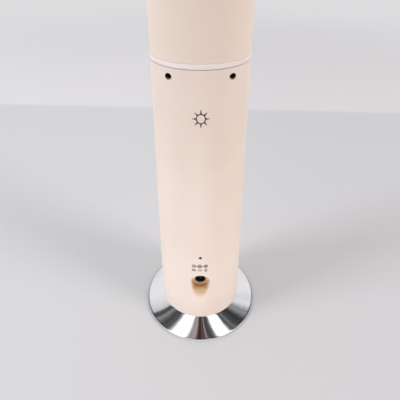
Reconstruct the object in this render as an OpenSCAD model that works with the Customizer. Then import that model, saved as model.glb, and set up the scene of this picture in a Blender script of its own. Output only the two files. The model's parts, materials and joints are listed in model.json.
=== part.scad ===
// Desk lamp: a touch column on a flared foot, a turning hinge block, a tilting arm and a lamp head.
// The origin is the centre of the foot on the table. +Z is up, the power socket faces -Y
// and the arm leans to +Y. All sizes are in millimetres and all angles in degrees.

/* [Foot] */
// Diameter over the rim of the flared foot
rim_d = 82.9; // [81:0.1:86]
// Height at which the flare meets the column
foot_top = 11; // [10.6:0.1:11.4]
// Height of the rim's straight edge
rim_edge = 0.9; // [0.7:0.1:1.1]
// Sheet thickness of the flare
skirt_t = 1.2; // [1:0.1:1.3]
// Clearance from the table to the base plate
plate_lift = 0.8; // [0.6:0.1:0.9]
// Thickness of the base plate at its hub
plate_t = 6.8; // [6:0.1:7.2]
// Distance from the rim to the rubber ring
tread_inset = 4.15; // [3.8:0.05:5]
// Width of the rubber ring
tread_w = 6; // [4:0.5:7]
// Depth of the groove that holds the rubber ring
tread_groove = 1; // [0.8:0.1:1.2]
// Height of the ballast block
ballast_h = 30.4; // [28:0.1:31]
// Circle of the three long base screws
screw_ring_r = 16; // [15.5:0.1:16.2]
// Shank diameter of the base screws
base_screw_d = 4; // [3.5:0.1:4]
// Head diameter of the base screws
base_head_d = 7; // [6:0.1:7.4]

/* [Column] */
// Diameter of the column where it meets the flare
col_foot_d = 58; // [57.4:0.1:58.6]
// Diameter of the column at its top
col_top_d = 50; // [49.8:0.1:50.4]
// Height of the column's top edge above the table
col_top = 186.4; // [185.9:0.5:189]
// Wall of the column
wall = 2.4; // [2.2:0.1:2.5]
// Height of the power socket above the table
socket_z = 47.6; // [47.1:0.1:48.2]
// Diameter of the recess round the socket
pocket_d = 12.5; // [11.8:0.1:12.7]
// Depth of the recess round the socket
pocket_deep = 2.8; // [2.4:0.1:3]
// Depth of the finger scoop where it meets the recess
scoop_deep = 1.5; // [1.2:0.1:1.8]
// Height at which the finger scoop runs out
scoop_end = 25.2; // [24.8:0.2:28]
// Radius of the scoop's floor
scoop_r = 60; // [40:5:80]
// Diameter of the socket hole
socket_d = 7.4; // [7:0.1:7.6]
// Height of the charge light above the table
light_z = 70.1; // [66:0.5:73]
// Diameter of the charge light
light_d = 1.8; // [1.4:0.1:2]
// Height of the grub screws above the table
grub_z = 182.3; // [181.7:0.1:182.7]
// Diameter of the grub screws
grub_d = 3; // [2.6:0.1:3.1]
// Length of the grub screws
grub_len = 5.6; // [5:0.1:5.8]
// Half the angle between the mouths of the two screw holes of a pair
grub_half = 36; // [32:1:39]

/* [Inside the column] */
// Width of the circuit board
board_w = 26; // [24:0.5:27]
// Thickness of the circuit board
board_t = 1.6; // [1.5:0.1:1.7]
// Distance of the board's outer face from the axis
board_y = 12.2; // [11.8:0.1:12.4]
// Side of the largest chip on the board
chip_w = 10; // [8:0.5:11]
// Height of the largest chip on the board
chip_h = 1.6; // [1.2:0.1:2]
// Diameter of a battery cell
cell_d = 18.5; // [18:0.1:18.6]
// Length of a battery cell
cell_len = 65; // [62:0.5:65.5]
// Width of the strips that join the cells
strap_w = 7; // [5:0.5:8]
// Height of the touch field's centre
touch_z = 163.8; // [161:0.2:164.4]
// Height of the touch foil
foil_h = 15; // [12:0.5:15.4]
// How far the cradle plates reach beyond the cells' axes
cradle_reach = 8; // [7.4:0.1:8.2]
// Distance of the middle cradle plates from the cells' ends
cradle_in = 14; // [10:1:18]
// Wall of the moulded inner frame
frame_t = 2.2; // [2:0.1:2.4]

/* [Swivel] */
// Diameter of the hollow swivel shaft
shaft_d = 12; // [11.6:0.1:12.4]
// Bore of the swivel shaft
shaft_bore = 8; // [7:0.1:8.4]
// Wall of the brass bush
bush_wall = 2; // [1.8:0.1:2.2]
// Flange diameter of the brass bush
flange_d = 23; // [22.4:0.2:23.4]
// Thickness of the bright trim ring
trim_h = 2.5; // [2.3:0.1:2.7]
// Shadow gap above and below the trim ring
shadow_gap = 0.25; // [0.2:0.05:0.3]
// Height of the plug in the column's top
plug_h = 11.3; // [10.9:0.1:11.6]
// Thickness of the slip washer
slip_h = 0.7; // [0.6:0.05:0.75]
// Distance of the stop pin from the axis
stop_r = 12.8; // [12.6:0.1:13]
// Diameter of the stop pin
stop_pin_d = 3; // [2.6:0.1:3.2]
// Width of the tab that meets the stop pin
stop_tab_w = 4; // [3.6:0.1:4.4]

/* [Hinge block] */
// How far the hinge block stands back from the column's top edge
block_back = 0.2; // [0.1:0.1:0.4]
// Height of the arm's pivot above the column
pivot_up = 33.2; // [32.2:0.5:34.7]
// Height of the block above the arm's pivot
block_rise = 15; // [14.4:0.2:16]
// Radius of the block's rounded top edge
block_round = 9; // [7:0.5:9.5]
// Wall of the hinge block
block_wall = 2.4; // [2.2:0.1:2.6]
// Depth of the slot's front sill below the arm's pivot
sill_drop = 4.8; // [4.5:0.1:6]
// Width of the slot for the arm
slot_w = 16.6; // [16.4:0.1:16.8]
// Diameter of the arm's pivot pin
arm_pin_d = 6; // [5.6:0.1:6.2]
// Diameter of the bright pivot caps
cap_d = 15; // [14:0.2:15.4]
// How far a pivot cap stands out
cap_rise = 1.4; // [1:0.1:1.8]

/* [Arm] */
// Distance between the arm's two pivots
arm_len = 130; // [120:1:140]
// Angle of the resting arm above the table
arm_rest = 52; // [50:1:54]
// Diameter of the arm tube
tube_d = 12; // [11.6:0.1:12.2]
// Wall of the arm tube
tube_t = 1.2; // [1:0.1:1.4]
// Diameter of the lower knuckle
knuckle_d = 22; // [21:0.2:22.4]
// Width of the lower knuckle
knuckle_w = 15.4; // [15.2:0.1:15.6]
// Diameter of the upper fork
fork_d = 18; // [17:0.2:18.6]
// Width of the upper fork
fork_w = 18.6; // [18:0.1:19]
// Diameter of the head's pivot pin
head_pin_d = 5; // [4.6:0.1:5.2]
// Diameter of the rivets that hold the tube
rivet_d = 2.4; // [2:0.1:2.8]
// Shank diameter of the small screws in the hinge block and the bracket
small_screw_d = 2.5; // [2.2:0.1:2.6]
// Distance between the two screws of the bracket
bracket_pitch = 6.2; // [5.8:0.1:6.6]
// Radius of the softened edges of the castings
cast_edge = 1.2; // [0.8:0.1:1.6]

/* [Head] */
// Diameter of the head shell
head_d = 46; // [45.4:0.2:46.6]
// Wall of the head shell
head_wall = 1.8; // [1.6:0.1:2]
// Distance from the head's pivot to the head's axis
head_off = 35.4; // [35:0.2:37]
// Height of the head shell above its pivot
head_up = 16; // [15.6:0.2:18]
// Length of the head shell below its pivot
head_down = 46; // [45:0.5:48]
// Width of the head's pivot lug
lug_w = 9.8; // [9.4:0.1:10]
// Mouth diameter of the flared ring
mouth_d = 60; // [57:0.5:64]
// Length of the flared ring below the shell
mouth_h = 8; // [7:0.5:9]
// Number of cooling fins
fin_n = 18; // [12:1:20]
// Thickness of a cooling fin
fin_t = 1; // [0.8:0.1:1.2]
// Number of vent slots in the head's cap
vent_n = 14; // [8:1:16]

/* [Clearances] */
// Radial clearance of a turning pin or shaft
run_fit = 0.05; // [0.03:0.01:0.08]
// Radial clearance of a fixed pin or screw
seat_fit = 0.03; // [0.02:0.01:0.06]
// Gap between faces that slide on each other
slide_gap = 0.1; // [0.05:0.01:0.15]
// Gap between parts that are assembled face to face
part_gap = 0.15; // [0.1:0.01:0.2]

/* [Hidden] */
$fn = 96;
cream = [0.93, 0.85, 0.79];
bright = [0.85, 0.86, 0.88];
rim_r = rim_d / 2;
col_foot_r = col_foot_d / 2;
col_top_r = col_top_d / 2;
tread_d = rim_d - 2 * tread_inset;
ballast_r = col_foot_r - wall - 1.5;
hub_top = plate_lift + plate_t;
skirt_sink = skirt_t / sin(atan((foot_top - plate_lift - rim_edge) / (rim_r - col_foot_r)));
ballast_top = hub_top + ballast_h;
boss_z = ballast_top + 0.3;
boss_top = boss_z + 13.8;
boss_r = base_screw_d / 2 + 1.9;
pocket_floor = column_r(socket_z) - pocket_deep;
grub_x = column_r(grub_z) * sin(grub_half);
grub_y = column_r(grub_z) * cos(grub_half);
pad_back = pocket_floor - 4.2;
pad_w = pocket_d + 5;
pad_z = scoop_end - 3;
jack_half = 5.5;
jack_back = board_y + 2;
pin_tail_r = 0.7;
cell_y = -board_y + board_t + 4.2 + cell_d / 2 + 0.4;
cell_x = cell_d / 2 + 0.35;
cradle_r = cell_x + cradle_reach;
spine_y = -board_y + board_t + 2;
cell_z = boss_top + 28;
frame_top = cell_z + cell_len + 12.8;
plug_top = col_top - 0.2;
plug_z = col_top - plug_h;
plug_r = col_top_r - wall - seat_fit - 0.07;
bush_r = shaft_d / 2 + run_fit + bush_wall;
trim_top = col_top + trim_h;
block_z = trim_top + shadow_gap;
flange_top = block_z - slide_gap - slip_h;
block_floor = block_z + 3.8;
block_d = col_top_d - 2 * block_back;
block_r = block_d / 2;
pivot_z = col_top + pivot_up;
block_top = pivot_z + block_rise;
shaft_flange_h = 2;
wave_h = 1;
stop_h = 1.4;
nut_h = 2.9;
nut_z = plug_z - slide_gap - wave_h - stop_h - nut_h;
knuckle_r = knuckle_d / 2;
fork_r = fork_d / 2;
neck_r = tube_d / 2 + 1.6;
tube_in = 14.3;
neck_end = 26;
head_r = head_d / 2;
head_pivot_y = arm_len * cos(arm_rest);
head_pivot_z = pivot_z + arm_len * sin(arm_rest);
ledge_z = -13.4;
sink_z = ledge_z + 3;
lens_t = 2.2;

// Radius of the tapered column at a height
function column_r(z) =
    col_foot_r + (col_top_r - col_foot_r) * (z - foot_top) / (col_top - foot_top);

// A plain ring standing on its lower face
module ring(r_out, r_in, h) {
    difference() {
        cylinder(h = h, r = r_out);
        translate([0, 0, -1]) cylinder(h = h + 2, r = r_in);
    }
}

// Copies set evenly round the axis, the first at an angle from +X
module round_axis(n, r, first = 0) {
    for (i = [0 : n - 1]) rotate(first + i * 360 / n) translate([r, 0, 0]) children();
}

// A disc whose axis lies along X, centred on a given x
module disc_x(r, w, x = 0) {
    translate([x - w / 2, 0, 0]) rotate([0, 90, 0]) cylinder(h = w, r = r);
}

// A disc along X whose two rims are rounded, centred on the origin
module soft_disc_x(r, w, edge) {
    rotate([0, 90, 0]) rotate_extrude() {
        translate([0, -w / 2]) square([r - edge, w]);
        translate([0, edge - w / 2]) square([r, w - 2 * edge]);
        for (side = [-1, 1]) intersection() {
            translate([r - edge, side * (w / 2 - edge)]) circle(r = edge, $fn = 32);
            translate([0, -w]) square([r, 2 * w]);
        }
    }
}

// A ring whose axis lies along X, centred on a given x
module ring_x(r_out, r_in, w, x = 0) {
    difference() {
        disc_x(r_out, w, x);
        disc_x(r_in, w + 2, x);
    }
}

// A slice of the column's tapered body, inset from its outer face
module column_slice(inset, z0, z1) {
    translate([0, 0, z0])
        cylinder(h = z1 - z0, r1 = column_r(z0) - inset, r2 = column_r(z1) - inset);
}

// Places its children in the arm's frame: the pivot at the origin, the arm along +Z
module in_arm() {
    translate([0, 0, pivot_z]) rotate([arm_rest - 90, 0, 0]) children();
}

// Places its children in the head's frame: the head pivot at the origin, the light pointing down
module in_head() {
    translate([0, head_pivot_y, head_pivot_z]) children();
}

// Places its children on the head's own axis
module on_head_axis() {
    in_head() translate([0, head_off, 0]) children();
}

// Copies at the grub screws: a parallel pair at the back and one at the front, outwards along +Z
module at_grubs() {
    for (end = [-90, 90], side = [-1, 1]) rotate(end)
        translate([0, side * grub_x, grub_z]) rotate([0, 90, 0]) children();
}

module base_skirt() {
    color(bright) rotate_extrude()
        polygon([
            [rim_r - skirt_t, plate_lift], [rim_r, plate_lift],
            [rim_r, plate_lift + rim_edge], [col_foot_r + 0.25, foot_top],
            [col_foot_r - wall - 0.9, foot_top], [col_foot_r - wall - 0.9, foot_top - skirt_t],
            [col_foot_r + 0.25 - skirt_t / 2, foot_top - skirt_t],
            [rim_r - skirt_sink, plate_lift + rim_edge], [rim_r - skirt_t, plate_lift + 0.4]
        ]);
}

module foot_ring() {
    color("dimgray") rotate_extrude()
        polygon([
            [tread_d / 2 - tread_w, 0.3], [tread_d / 2 - tread_w + 0.3, 0], [tread_d / 2 - 0.3, 0],
            [tread_d / 2, 0.3], [tread_d / 2, plate_lift + tread_groove],
            [tread_d / 2 - tread_w, plate_lift + tread_groove]
        ]);
}

module base_plate() {
    flare_run = (rim_r - col_foot_r) / (foot_top - plate_lift - rim_edge);
    edge_r = rim_r - skirt_sink - part_gap;
    hub_r = edge_r - flare_run * (plate_t - rim_edge);
    color("silver") difference() {
        rotate_extrude()
            polygon([
                [0, plate_lift], [edge_r, plate_lift], [edge_r, plate_lift + rim_edge],
                [hub_r, hub_top], [0, hub_top]
            ]);
        ring(tread_d / 2 + seat_fit, tread_d / 2 - tread_w - seat_fit, plate_lift + tread_groove);
        round_axis(3, screw_ring_r, 90) {
            cylinder(h = plate_lift + 3, r = base_head_d / 2 + 0.3);
            cylinder(h = hub_top + 1, r = base_screw_d / 2 + seat_fit);
        }
    }
}

module ballast() {
    color("gray") difference() {
        translate([0, 0, hub_top]) union() {
            cylinder(h = ballast_h - 1.5, r = ballast_r);
            cylinder(h = ballast_h, r = ballast_r - 1.5);
        }
        round_axis(3, screw_ring_r, 90)
            cylinder(h = ballast_top + 1, r = base_screw_d / 2 + seat_fit);
        translate([-pad_w / 2 - 0.5, -col_foot_r, pad_z - 0.5])
            cube([pad_w + 1, col_foot_r - pad_back + 0.3, ballast_top]);
    }
}

module base_screws() {
    color("dimgray") round_axis(3, screw_ring_r, 90) difference() {
        union() {
            translate([0, 0, plate_lift + 0.4]) cylinder(h = 2.6, r = base_head_d / 2);
            translate([0, 0, plate_lift + 2]) cylinder(h = boss_top - 5 - plate_lift, r = base_screw_d / 2);
        }
        translate([0, 0, plate_lift]) cylinder(h = 2, r = base_screw_d * 0.42, $fn = 6);
    }
}

// The outline of the finger scoop: a shallow round groove that deepens towards the socket
module scoop_cut() {
    scoop_run = socket_z - pocket_d / 2 - scoop_end;
    tilt = atan(scoop_deep / scoop_run);
    intersection() {
        translate([0, -column_r(scoop_end), scoop_end]) rotate([-tilt, 0, 0])
            translate([0, -scoop_r, -20]) cylinder(h = 60, r = scoop_r);
        translate([-pocket_d / 2, -column_r(scoop_end) - 2, scoop_end - 4])
            cube([pocket_d, 6, socket_z - scoop_end + 4]);
    }
}

module column_shell() {
    color(cream) difference() {
        union() {
            difference() {
                column_slice(0, foot_top, col_top);
                translate([0, 0, foot_top - 1]) cylinder(h = 1.1, r = column_r(foot_top) - wall);
                column_slice(wall, foot_top, col_top);
                translate([0, 0, col_top - 0.1]) cylinder(h = 1, r = col_top_r - wall);
            }
            intersection() {
                column_slice(wall / 2, foot_top, col_top);
                union() {
                    translate([-pad_w / 2, -col_foot_r, pad_z])
                        cube([pad_w, col_foot_r - pad_back, socket_z + 9 - pad_z]);
                    round_axis(3, screw_ring_r, 90) translate([0, 0, boss_z]) {
                        cylinder(h = boss_top - boss_z, r = boss_r);
                        translate([0, -1.4, 0]) cube([12, 2.8, boss_top - boss_z]);
                    }
                }
            }
        }
        translate([0, -pocket_floor, socket_z]) rotate([90, 0, 0]) cylinder(h = 9, r = pocket_d / 2);
        scoop_cut();
        translate([0, 0, socket_z]) rotate([90, 0, 0]) cylinder(h = 40, r = socket_d / 2);
        translate([0, 0, light_z]) rotate([90, 0, 0]) cylinder(h = 40, r = light_d / 2);
        round_axis(3, screw_ring_r, 90) translate([0, 0, boss_z - 1])
            cylinder(h = boss_top - boss_z - 1, r = base_screw_d / 2 + seat_fit);
        at_grubs() translate([0, 0, grub_y - 3 * wall]) cylinder(h = 6 * wall, r = grub_d / 2 + 0.1);
    }
}

module jack_body() {
    nose_y = pocket_floor - 0.3;
    color([0.08, 0.08, 0.09]) difference() {
        translate([0, 0, socket_z]) union() {
            translate([0, -pad_back + 1, 0]) rotate([90, 0, 0])
                cylinder(h = nose_y - pad_back + 1, r = socket_d / 2 - 0.1);
            translate([-jack_half, -pad_back, -jack_half])
                cube([2 * jack_half, pad_back - board_y, 2 * jack_half]);
        }
        translate([0, -jack_back, socket_z]) rotate([90, 0, 0])
            cylinder(h = 20, r = socket_d / 2 - 0.7);
        translate([0, 0, socket_z]) rotate([90, 0, 0]) cylinder(h = 20, r = pin_tail_r + seat_fit);
    }
}

module jack_pin() {
    pin_len = pocket_floor - 1.8 - jack_back;
    color("silver") translate([0, -jack_back, socket_z]) rotate([90, 0, 0]) {
        translate([0, 0, -1.2]) cylinder(h = 2.2, r = pin_tail_r);
        translate([0, 0, 0.05]) cylinder(h = pin_len - 0.05, r = 1);
        translate([0, 0, pin_len]) sphere(r = 1, $fn = 32);
    }
}

module status_light() {
    color("white") translate([0, -board_y, light_z]) rotate([90, 0, 0]) {
        cylinder(h = 7.5, r = 2);
        cylinder(h = column_r(light_z) - board_y - 0.35, r = light_d / 2 - seat_fit);
    }
}

module main_board() {
    board_z = socket_z - jack_half - 1.5;
    board_end = plug_z - 6.7;
    color("darkgreen") difference() {
        union() {
            translate([-board_w / 2, -board_y, boss_top + 2])
                cube([board_w, board_t, board_end - boss_top - 2]);
            translate([-9, -board_y, board_z]) cube([18, board_t, boss_top + 4 - board_z]);
        }
        for (z = [cell_z - 10, cell_z + cell_len + 2], x = [-9, 9])
            translate([x, 0, z]) rotate([90, 0, 0]) cylinder(h = 30, r = 1.3);
    }
}

// Stands its children on the board's outer face, with their lower left corner at x and z
module on_board(x, z) {
    translate([x, -board_y, z]) mirror([0, 1, 0]) children();
}

module board_chips() {
    color([0.12, 0.12, 0.13]) {
        on_board(-chip_w / 2, light_z + 1.7 * chip_w) cube([chip_w, chip_h, chip_w]);
        on_board(-0.7 * chip_w, light_z + 3.5 * chip_w) cube([0.6 * chip_w, 1.1 * chip_h, 0.8 * chip_w]);
        on_board(0.1 * chip_w, light_z + 3.4 * chip_w) cube([0.7 * chip_w, 1.6 * chip_h, 0.7 * chip_w]);
        on_board(-0.4 * chip_w, touch_z - 1.9 * chip_w) cube([0.8 * chip_w, 0.9 * chip_h, 0.6 * chip_w]);
        for (x = [-0.8, 0.8]) translate([x * chip_w, -board_y, light_z + 5.5 * chip_w])
            rotate([90, 0, 0]) cylinder(h = 0.6 * chip_w, r = 0.32 * chip_w);
    }
}

// A half-round cradle plate that carries both cells at one height
module cradle(z) {
    translate([0, 0, z]) difference() {
        translate([-cradle_r, spine_y, 0]) cube([2 * cradle_r, cell_y - spine_y + 2, frame_t]);
        for (x = [-cell_x, cell_x]) translate([x, cell_y, -1]) cylinder(h = 9, r = cell_d / 2 + 0.1);
    }
}

module inner_frame() {
    disc_r = column_r(frame_top) - wall - 0.25;
    color("ivory") {
        difference() {
            union() {
                translate([0, 0, boss_top + part_gap]) cylinder(h = frame_t, r = disc_r);
                translate([0, 0, frame_top - frame_t]) cylinder(h = frame_t, r = disc_r);
            }
            translate([-disc_r - 1, -2 * disc_r - board_y + board_t + 0.3, 0])
                cube([2 * disc_r + 2, 2 * disc_r, frame_top + 1]);
            translate([0, 0, frame_top - frame_t - 1]) cylinder(h = frame_t + 2, r = shaft_bore / 2);
            translate([0, 8, boss_top]) cylinder(h = frame_t + 2, r = shaft_bore / 2);
        }
        translate([-board_w / 2 - 4, spine_y, boss_top + part_gap])
            cube([board_w + 8, frame_t, frame_top - boss_top - part_gap]);
        for (z = [cell_z - 10, cell_z + cell_len + 2], x = [-9, 9]) translate([x, spine_y + 0.1, z])
            rotate([90, 0, 0]) {
                cylinder(h = spine_y + 0.1 + board_y - board_t, r = 2.2);
                cylinder(h = spine_y + 0.1 + board_y + 0.8, r = 1.3 - seat_fit);
            }
        for (z = [cell_z - 0.9 - frame_t, cell_z + cradle_in, cell_z + cell_len - cradle_in - frame_t])
            cradle(z);
        translate([-cradle_r, spine_y, cell_z - 0.9 - frame_t])
            cube([2 * cradle_r, cell_y - spine_y + 6, frame_t]);
        translate([-cradle_r, spine_y, cell_z + cell_len + 0.9])
            cube([2 * cradle_r, cell_y - spine_y + 6, frame_t]);
        round_axis(3, disc_r - 3.4, 90) translate([0, 0, frame_top - 0.5])
            cylinder(h = plug_z - frame_top + 0.5 - part_gap, r = 2);
    }
}

module battery_cells() {
    color("mediumseagreen") for (x = [-cell_x, cell_x]) translate([x, cell_y, cell_z]) {
        cylinder(h = cell_len - 1.2, r = cell_d / 2);
        cylinder(h = cell_len, r = cell_d / 3.2);
    }
}

module cell_straps() {
    color("silver") for (z = [cell_z - 0.6, cell_z + cell_len + 0.3])
        translate([-cell_x - strap_w / 2, cell_y - strap_w / 2, z])
            cube([2 * cell_x + strap_w, strap_w, 0.3]);
}

module touch_foil() {
    foil_r = column_r(touch_z + foil_h / 2) - wall - 0.12;
    color("goldenrod") translate([0, 0, touch_z - foil_h / 2]) rotate(-90 - 22)
        rotate_extrude(angle = 44) translate([foil_r - 0.4, 0]) square([0.4, foil_h]);
}

module touch_foam() {
    foam_end = column_r(touch_z) - wall - 0.9;
    color([0.25, 0.25, 0.27]) translate([0, -board_y, touch_z]) rotate([90, 0, 0])
        cylinder(h = foam_end - board_y - 0.15, r = 3.6);
}

module top_plug() {
    rim_in = plug_r - 5;
    color("dimgray") difference() {
        translate([0, 0, plug_z]) difference() {
            cylinder(h = plug_top - plug_z, r = plug_r);
            translate([0, 0, 4]) ring(rim_in, bush_r + 2.6, plug_h);
        }
        cylinder(h = 300, r = bush_r + seat_fit);
        translate([0, stop_r, plug_z - 1]) cylinder(h = 4.5, r = stop_pin_d / 2 + seat_fit);
        at_grubs() translate([0, 0, grub_y / 3]) cylinder(h = plug_r, r = grub_d / 2 + seat_fit);
    }
}

module grub_screws() {
    face_y = sqrt(pow(column_r(grub_z), 2) - pow(grub_x + grub_d / 2, 2)) - 1.1;
    color("dimgray") at_grubs() difference() {
        translate([0, 0, face_y - grub_len]) cylinder(h = grub_len, r = grub_d / 2);
        translate([0, 0, face_y - 1.3]) cylinder(h = 3, r = 0.8, $fn = 6);
    }
}

module stop_pin() {
    color("silver") translate([0, stop_r, plug_z - wave_h - stop_h - 0.3])
        cylinder(h = wave_h + stop_h + 3.5, r = stop_pin_d / 2);
}

module swivel_bush() {
    color("darkgoldenrod") difference() {
        union() {
            translate([0, 0, plug_z + 0.3]) cylinder(h = plug_top - plug_z - 0.3, r = bush_r);
            translate([0, 0, plug_top]) cylinder(h = flange_top - plug_top, r = flange_d / 2);
        }
        cylinder(h = 300, r = shaft_d / 2 + run_fit);
    }
}

module trim_ring() {
    inner_r = flange_d / 2 + 0.3;
    lip_r = col_top_r - 0.9;
    trim_r = col_top_r + 0.05;
    color(bright) rotate_extrude()
        polygon([
            [inner_r, col_top], [lip_r, col_top], [lip_r, col_top + shadow_gap],
            [trim_r - 0.2, col_top + shadow_gap], [trim_r, col_top + shadow_gap + 0.2],
            [trim_r, trim_top - 0.2], [trim_r - 0.2, trim_top], [inner_r, trim_top]
        ]);
}

module slip_washer() {
    color("white") translate([0, 0, flange_top])
        ring(flange_d / 2 - 0.2, shaft_d / 2 + 0.4, slip_h);
}

// The block's outer form: a straight cylinder whose top edge is rounded over
module block_form(inset) {
    r = block_r - inset;
    round_r = block_round - inset;
    top = block_top - inset;
    rotate_extrude() union() {
        translate([0, block_z]) square([r, top - round_r - block_z]);
        translate([0, block_z]) square([r - round_r, top - block_z]);
        intersection() {
            translate([r - round_r, top - round_r]) circle(r = round_r);
            translate([0, top - round_r]) square([r, round_r]);
        }
    }
}

// The room that the arm and its knuckle sweep through
module arm_slot(extra) {
    half = slot_w / 2 + extra;
    sweep_r = knuckle_r + 1.6 + extra;
    translate([0, 0, pivot_z]) {
        disc_x(sweep_r, 2 * half);
        translate([-half, -neck_r - 1.2 - extra, 0]) cube([2 * half, 60, 60]);
        translate([-half, 0, -sill_drop - extra]) cube([2 * half, 60, 40]);
    }
}

module turret_shell() {
    boss_out_r = cap_d / 2 + 2;
    color(cream) difference() {
        intersection() {
            block_form(0);
            union() {
                difference() {
                    block_form(0);
                    intersection() {
                        block_form(block_wall);
                        translate([-block_d, -block_d, block_floor]) cube(2 * block_d);
                    }
                }
                arm_slot(block_wall);
                translate([0, 0, pivot_z]) disc_x(boss_out_r, block_d + 2);
            }
        }
        arm_slot(0);
        translate([0, 0, pivot_z]) {
            disc_x(arm_pin_d / 2 + seat_fit, block_d + 4);
            for (side = [-1, 1]) disc_x(cap_d / 2 + part_gap, 10, side * (block_r - 3 + 5));
        }
        translate([0, 0, block_z - 1]) cylinder(h = pivot_z - block_z, r = shaft_d / 2 + seat_fit);
        translate([0, 0, block_floor]) cylinder(h = pivot_z - block_floor, r = shaft_bore / 2);
        round_axis(3, flange_d / 2 - 2.9, 30)
            translate([0, 0, block_z + 0.8]) cylinder(h = 6, r = small_screw_d / 2 + seat_fit);
    }
}

module swivel_shaft() {
    color("silver") difference() {
        union() {
            translate([0, 0, nut_z - 0.8]) cylinder(h = block_floor - nut_z + 0.8, r = shaft_d / 2);
            translate([0, 0, block_floor]) cylinder(h = shaft_flange_h, r = flange_d / 2 + 1);
        }
        cylinder(h = 300, r = shaft_bore / 2);
        round_axis(3, flange_d / 2 - 2.9, 30) cylinder(h = 300, r = small_screw_d / 2 + seat_fit);
    }
}

module flange_screws() {
    color("dimgray") round_axis(3, flange_d / 2 - 2.9, 30) {
        translate([0, 0, block_z + 1])
            cylinder(h = block_floor + shaft_flange_h - block_z - 0.5, r = small_screw_d / 2);
        translate([0, 0, block_floor + shaft_flange_h]) cylinder(h = 1.4, r = small_screw_d * 0.92);
    }
}

module wave_washer() {
    color("silver") translate([0, 0, nut_z + nut_h + stop_h])
        ring(bush_r + 1.6, shaft_d / 2 + 0.2, wave_h);
}

module stop_washer() {
    color("gray") translate([0, 0, nut_z + nut_h]) difference() {
        union() {
            cylinder(h = stop_h, r = bush_r + 1.4);
            translate([-stop_tab_w / 2, -stop_r - stop_pin_d / 2 - 0.3, 0])
                cube([stop_tab_w, stop_r, stop_h]);
        }
        translate([0, 0, -1]) cylinder(h = stop_h + 2, r = shaft_d / 2 + seat_fit);
    }
}

module shaft_nut() {
    color("darkgoldenrod") translate([0, 0, nut_z]) difference() {
        cylinder(h = nut_h, r = shaft_d * 0.84, $fn = 6);
        translate([0, 0, -1]) cylinder(h = nut_h + 2, r = shaft_d / 2 + seat_fit);
    }
}

module arm_pin() {
    color("silver") translate([0, 0, pivot_z]) disc_x(arm_pin_d / 2, 2 * (block_r - 3) - 0.4);
}

// A shallow dome, turned from an arc, lying on the +X side of a pivot
module dome_x(r, seat_x, straight, rise) {
    dome_r = (r * r + rise * rise) / (2 * rise);
    translate([seat_x, 0, 0]) rotate([0, 90, 0]) rotate_extrude() {
        square([r, straight]);
        intersection() {
            translate([0, straight + rise - dome_r]) circle(r = dome_r, $fn = 180);
            translate([0, straight]) square([r, rise + 1]);
        }
    }
}

module pivot_caps() {
    straight = 3 - 0.1;
    color(bright) translate([0, 0, pivot_z]) for (side = [0, 1]) mirror([side, 0, 0])
        dome_x(cap_d / 2, block_r - 3 + 0.1, straight - 0.4, cap_rise);
}

module friction_discs() {
    disc_t = (slot_w - knuckle_w) / 2 - slide_gap;
    color("dimgray") translate([0, 0, pivot_z]) for (side = [-1, 1])
        ring_x(knuckle_r - 1.5, arm_pin_d / 2 + seat_fit, disc_t, side * (slot_w / 2 - disc_t / 2));
}

module lower_knuckle() {
    color(bright) in_arm() difference() {
        union() {
            soft_disc_x(knuckle_r, knuckle_w, cast_edge);
            cylinder(h = neck_end, r = neck_r);
            translate([0, 0, neck_end - 2]) ring(neck_r + 0.4, tube_d / 2 + seat_fit, 1.4);
        }
        disc_x(arm_pin_d / 2 + run_fit, knuckle_w + 2);
        translate([0, 0, tube_in - 0.3]) cylinder(h = neck_end, r = tube_d / 2 + seat_fit);
        translate([0, 0, neck_end - 6]) disc_x(rivet_d / 2 + seat_fit, 30);
    }
}

module arm_tube() {
    color(bright) in_arm() difference() {
        translate([0, 0, tube_in]) ring(tube_d / 2, tube_d / 2 - tube_t, arm_len - 2 * tube_in);
        for (s = [neck_end - 6, arm_len - neck_end + 6])
            translate([0, 0, s]) disc_x(rivet_d / 2 + seat_fit, 30);
    }
}

module tube_rivets() {
    color("silver") in_arm() for (s = [neck_end - 6, arm_len - neck_end + 6])
        translate([0, 0, s]) disc_x(rivet_d / 2, 2 * neck_r - 0.2);
}

module upper_fork() {
    slot_half = lug_w / 2 + 0.5;
    color(bright) in_arm() difference() {
        union() {
            translate([0, 0, arm_len]) soft_disc_x(fork_r, fork_w, cast_edge);
            translate([0, 0, arm_len - neck_end]) cylinder(h = neck_end - fork_r, r = neck_r);
            translate([0, 0, arm_len - neck_end + 0.6]) ring(neck_r + 0.4, tube_d / 2 + seat_fit, 1.4);
            intersection() {
                translate([0, 0, arm_len - fork_r - 10]) cylinder(h = 10, r1 = neck_r, r2 = fork_w / 2 + 1);
                translate([-fork_w / 2, -fork_r, arm_len - 40]) cube([fork_w, 2 * fork_r, 40]);
            }
            intersection() {
                translate([0, 0, arm_len - fork_r]) cylinder(h = fork_r, r = fork_w / 2 + 1);
                translate([-fork_w / 2, -fork_r, arm_len - fork_r]) cube([fork_w, 2 * fork_r, fork_r]);
            }
        }
        translate([-slot_half, -20, arm_len - fork_r - 1]) cube([2 * slot_half, 40, 40]);
        translate([0, 0, arm_len]) disc_x(head_pin_d / 2 + seat_fit, fork_w + 4);
        translate([0, 0, arm_len - neck_end - 1])
            cylinder(h = neck_end - tube_in + 1.3, r = tube_d / 2 + seat_fit);
        translate([0, 0, arm_len - neck_end + 6]) disc_x(rivet_d / 2 + seat_fit, 30);
    }
}

module head_pin() {
    color("silver") in_head() disc_x(head_pin_d / 2, fork_w - 0.4);
}

module fork_caps() {
    color(bright) in_head() for (side = [0, 1]) mirror([side, 0, 0])
        dome_x(fork_r - 3, fork_w / 2, 0.4, cap_rise);
}

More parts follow.
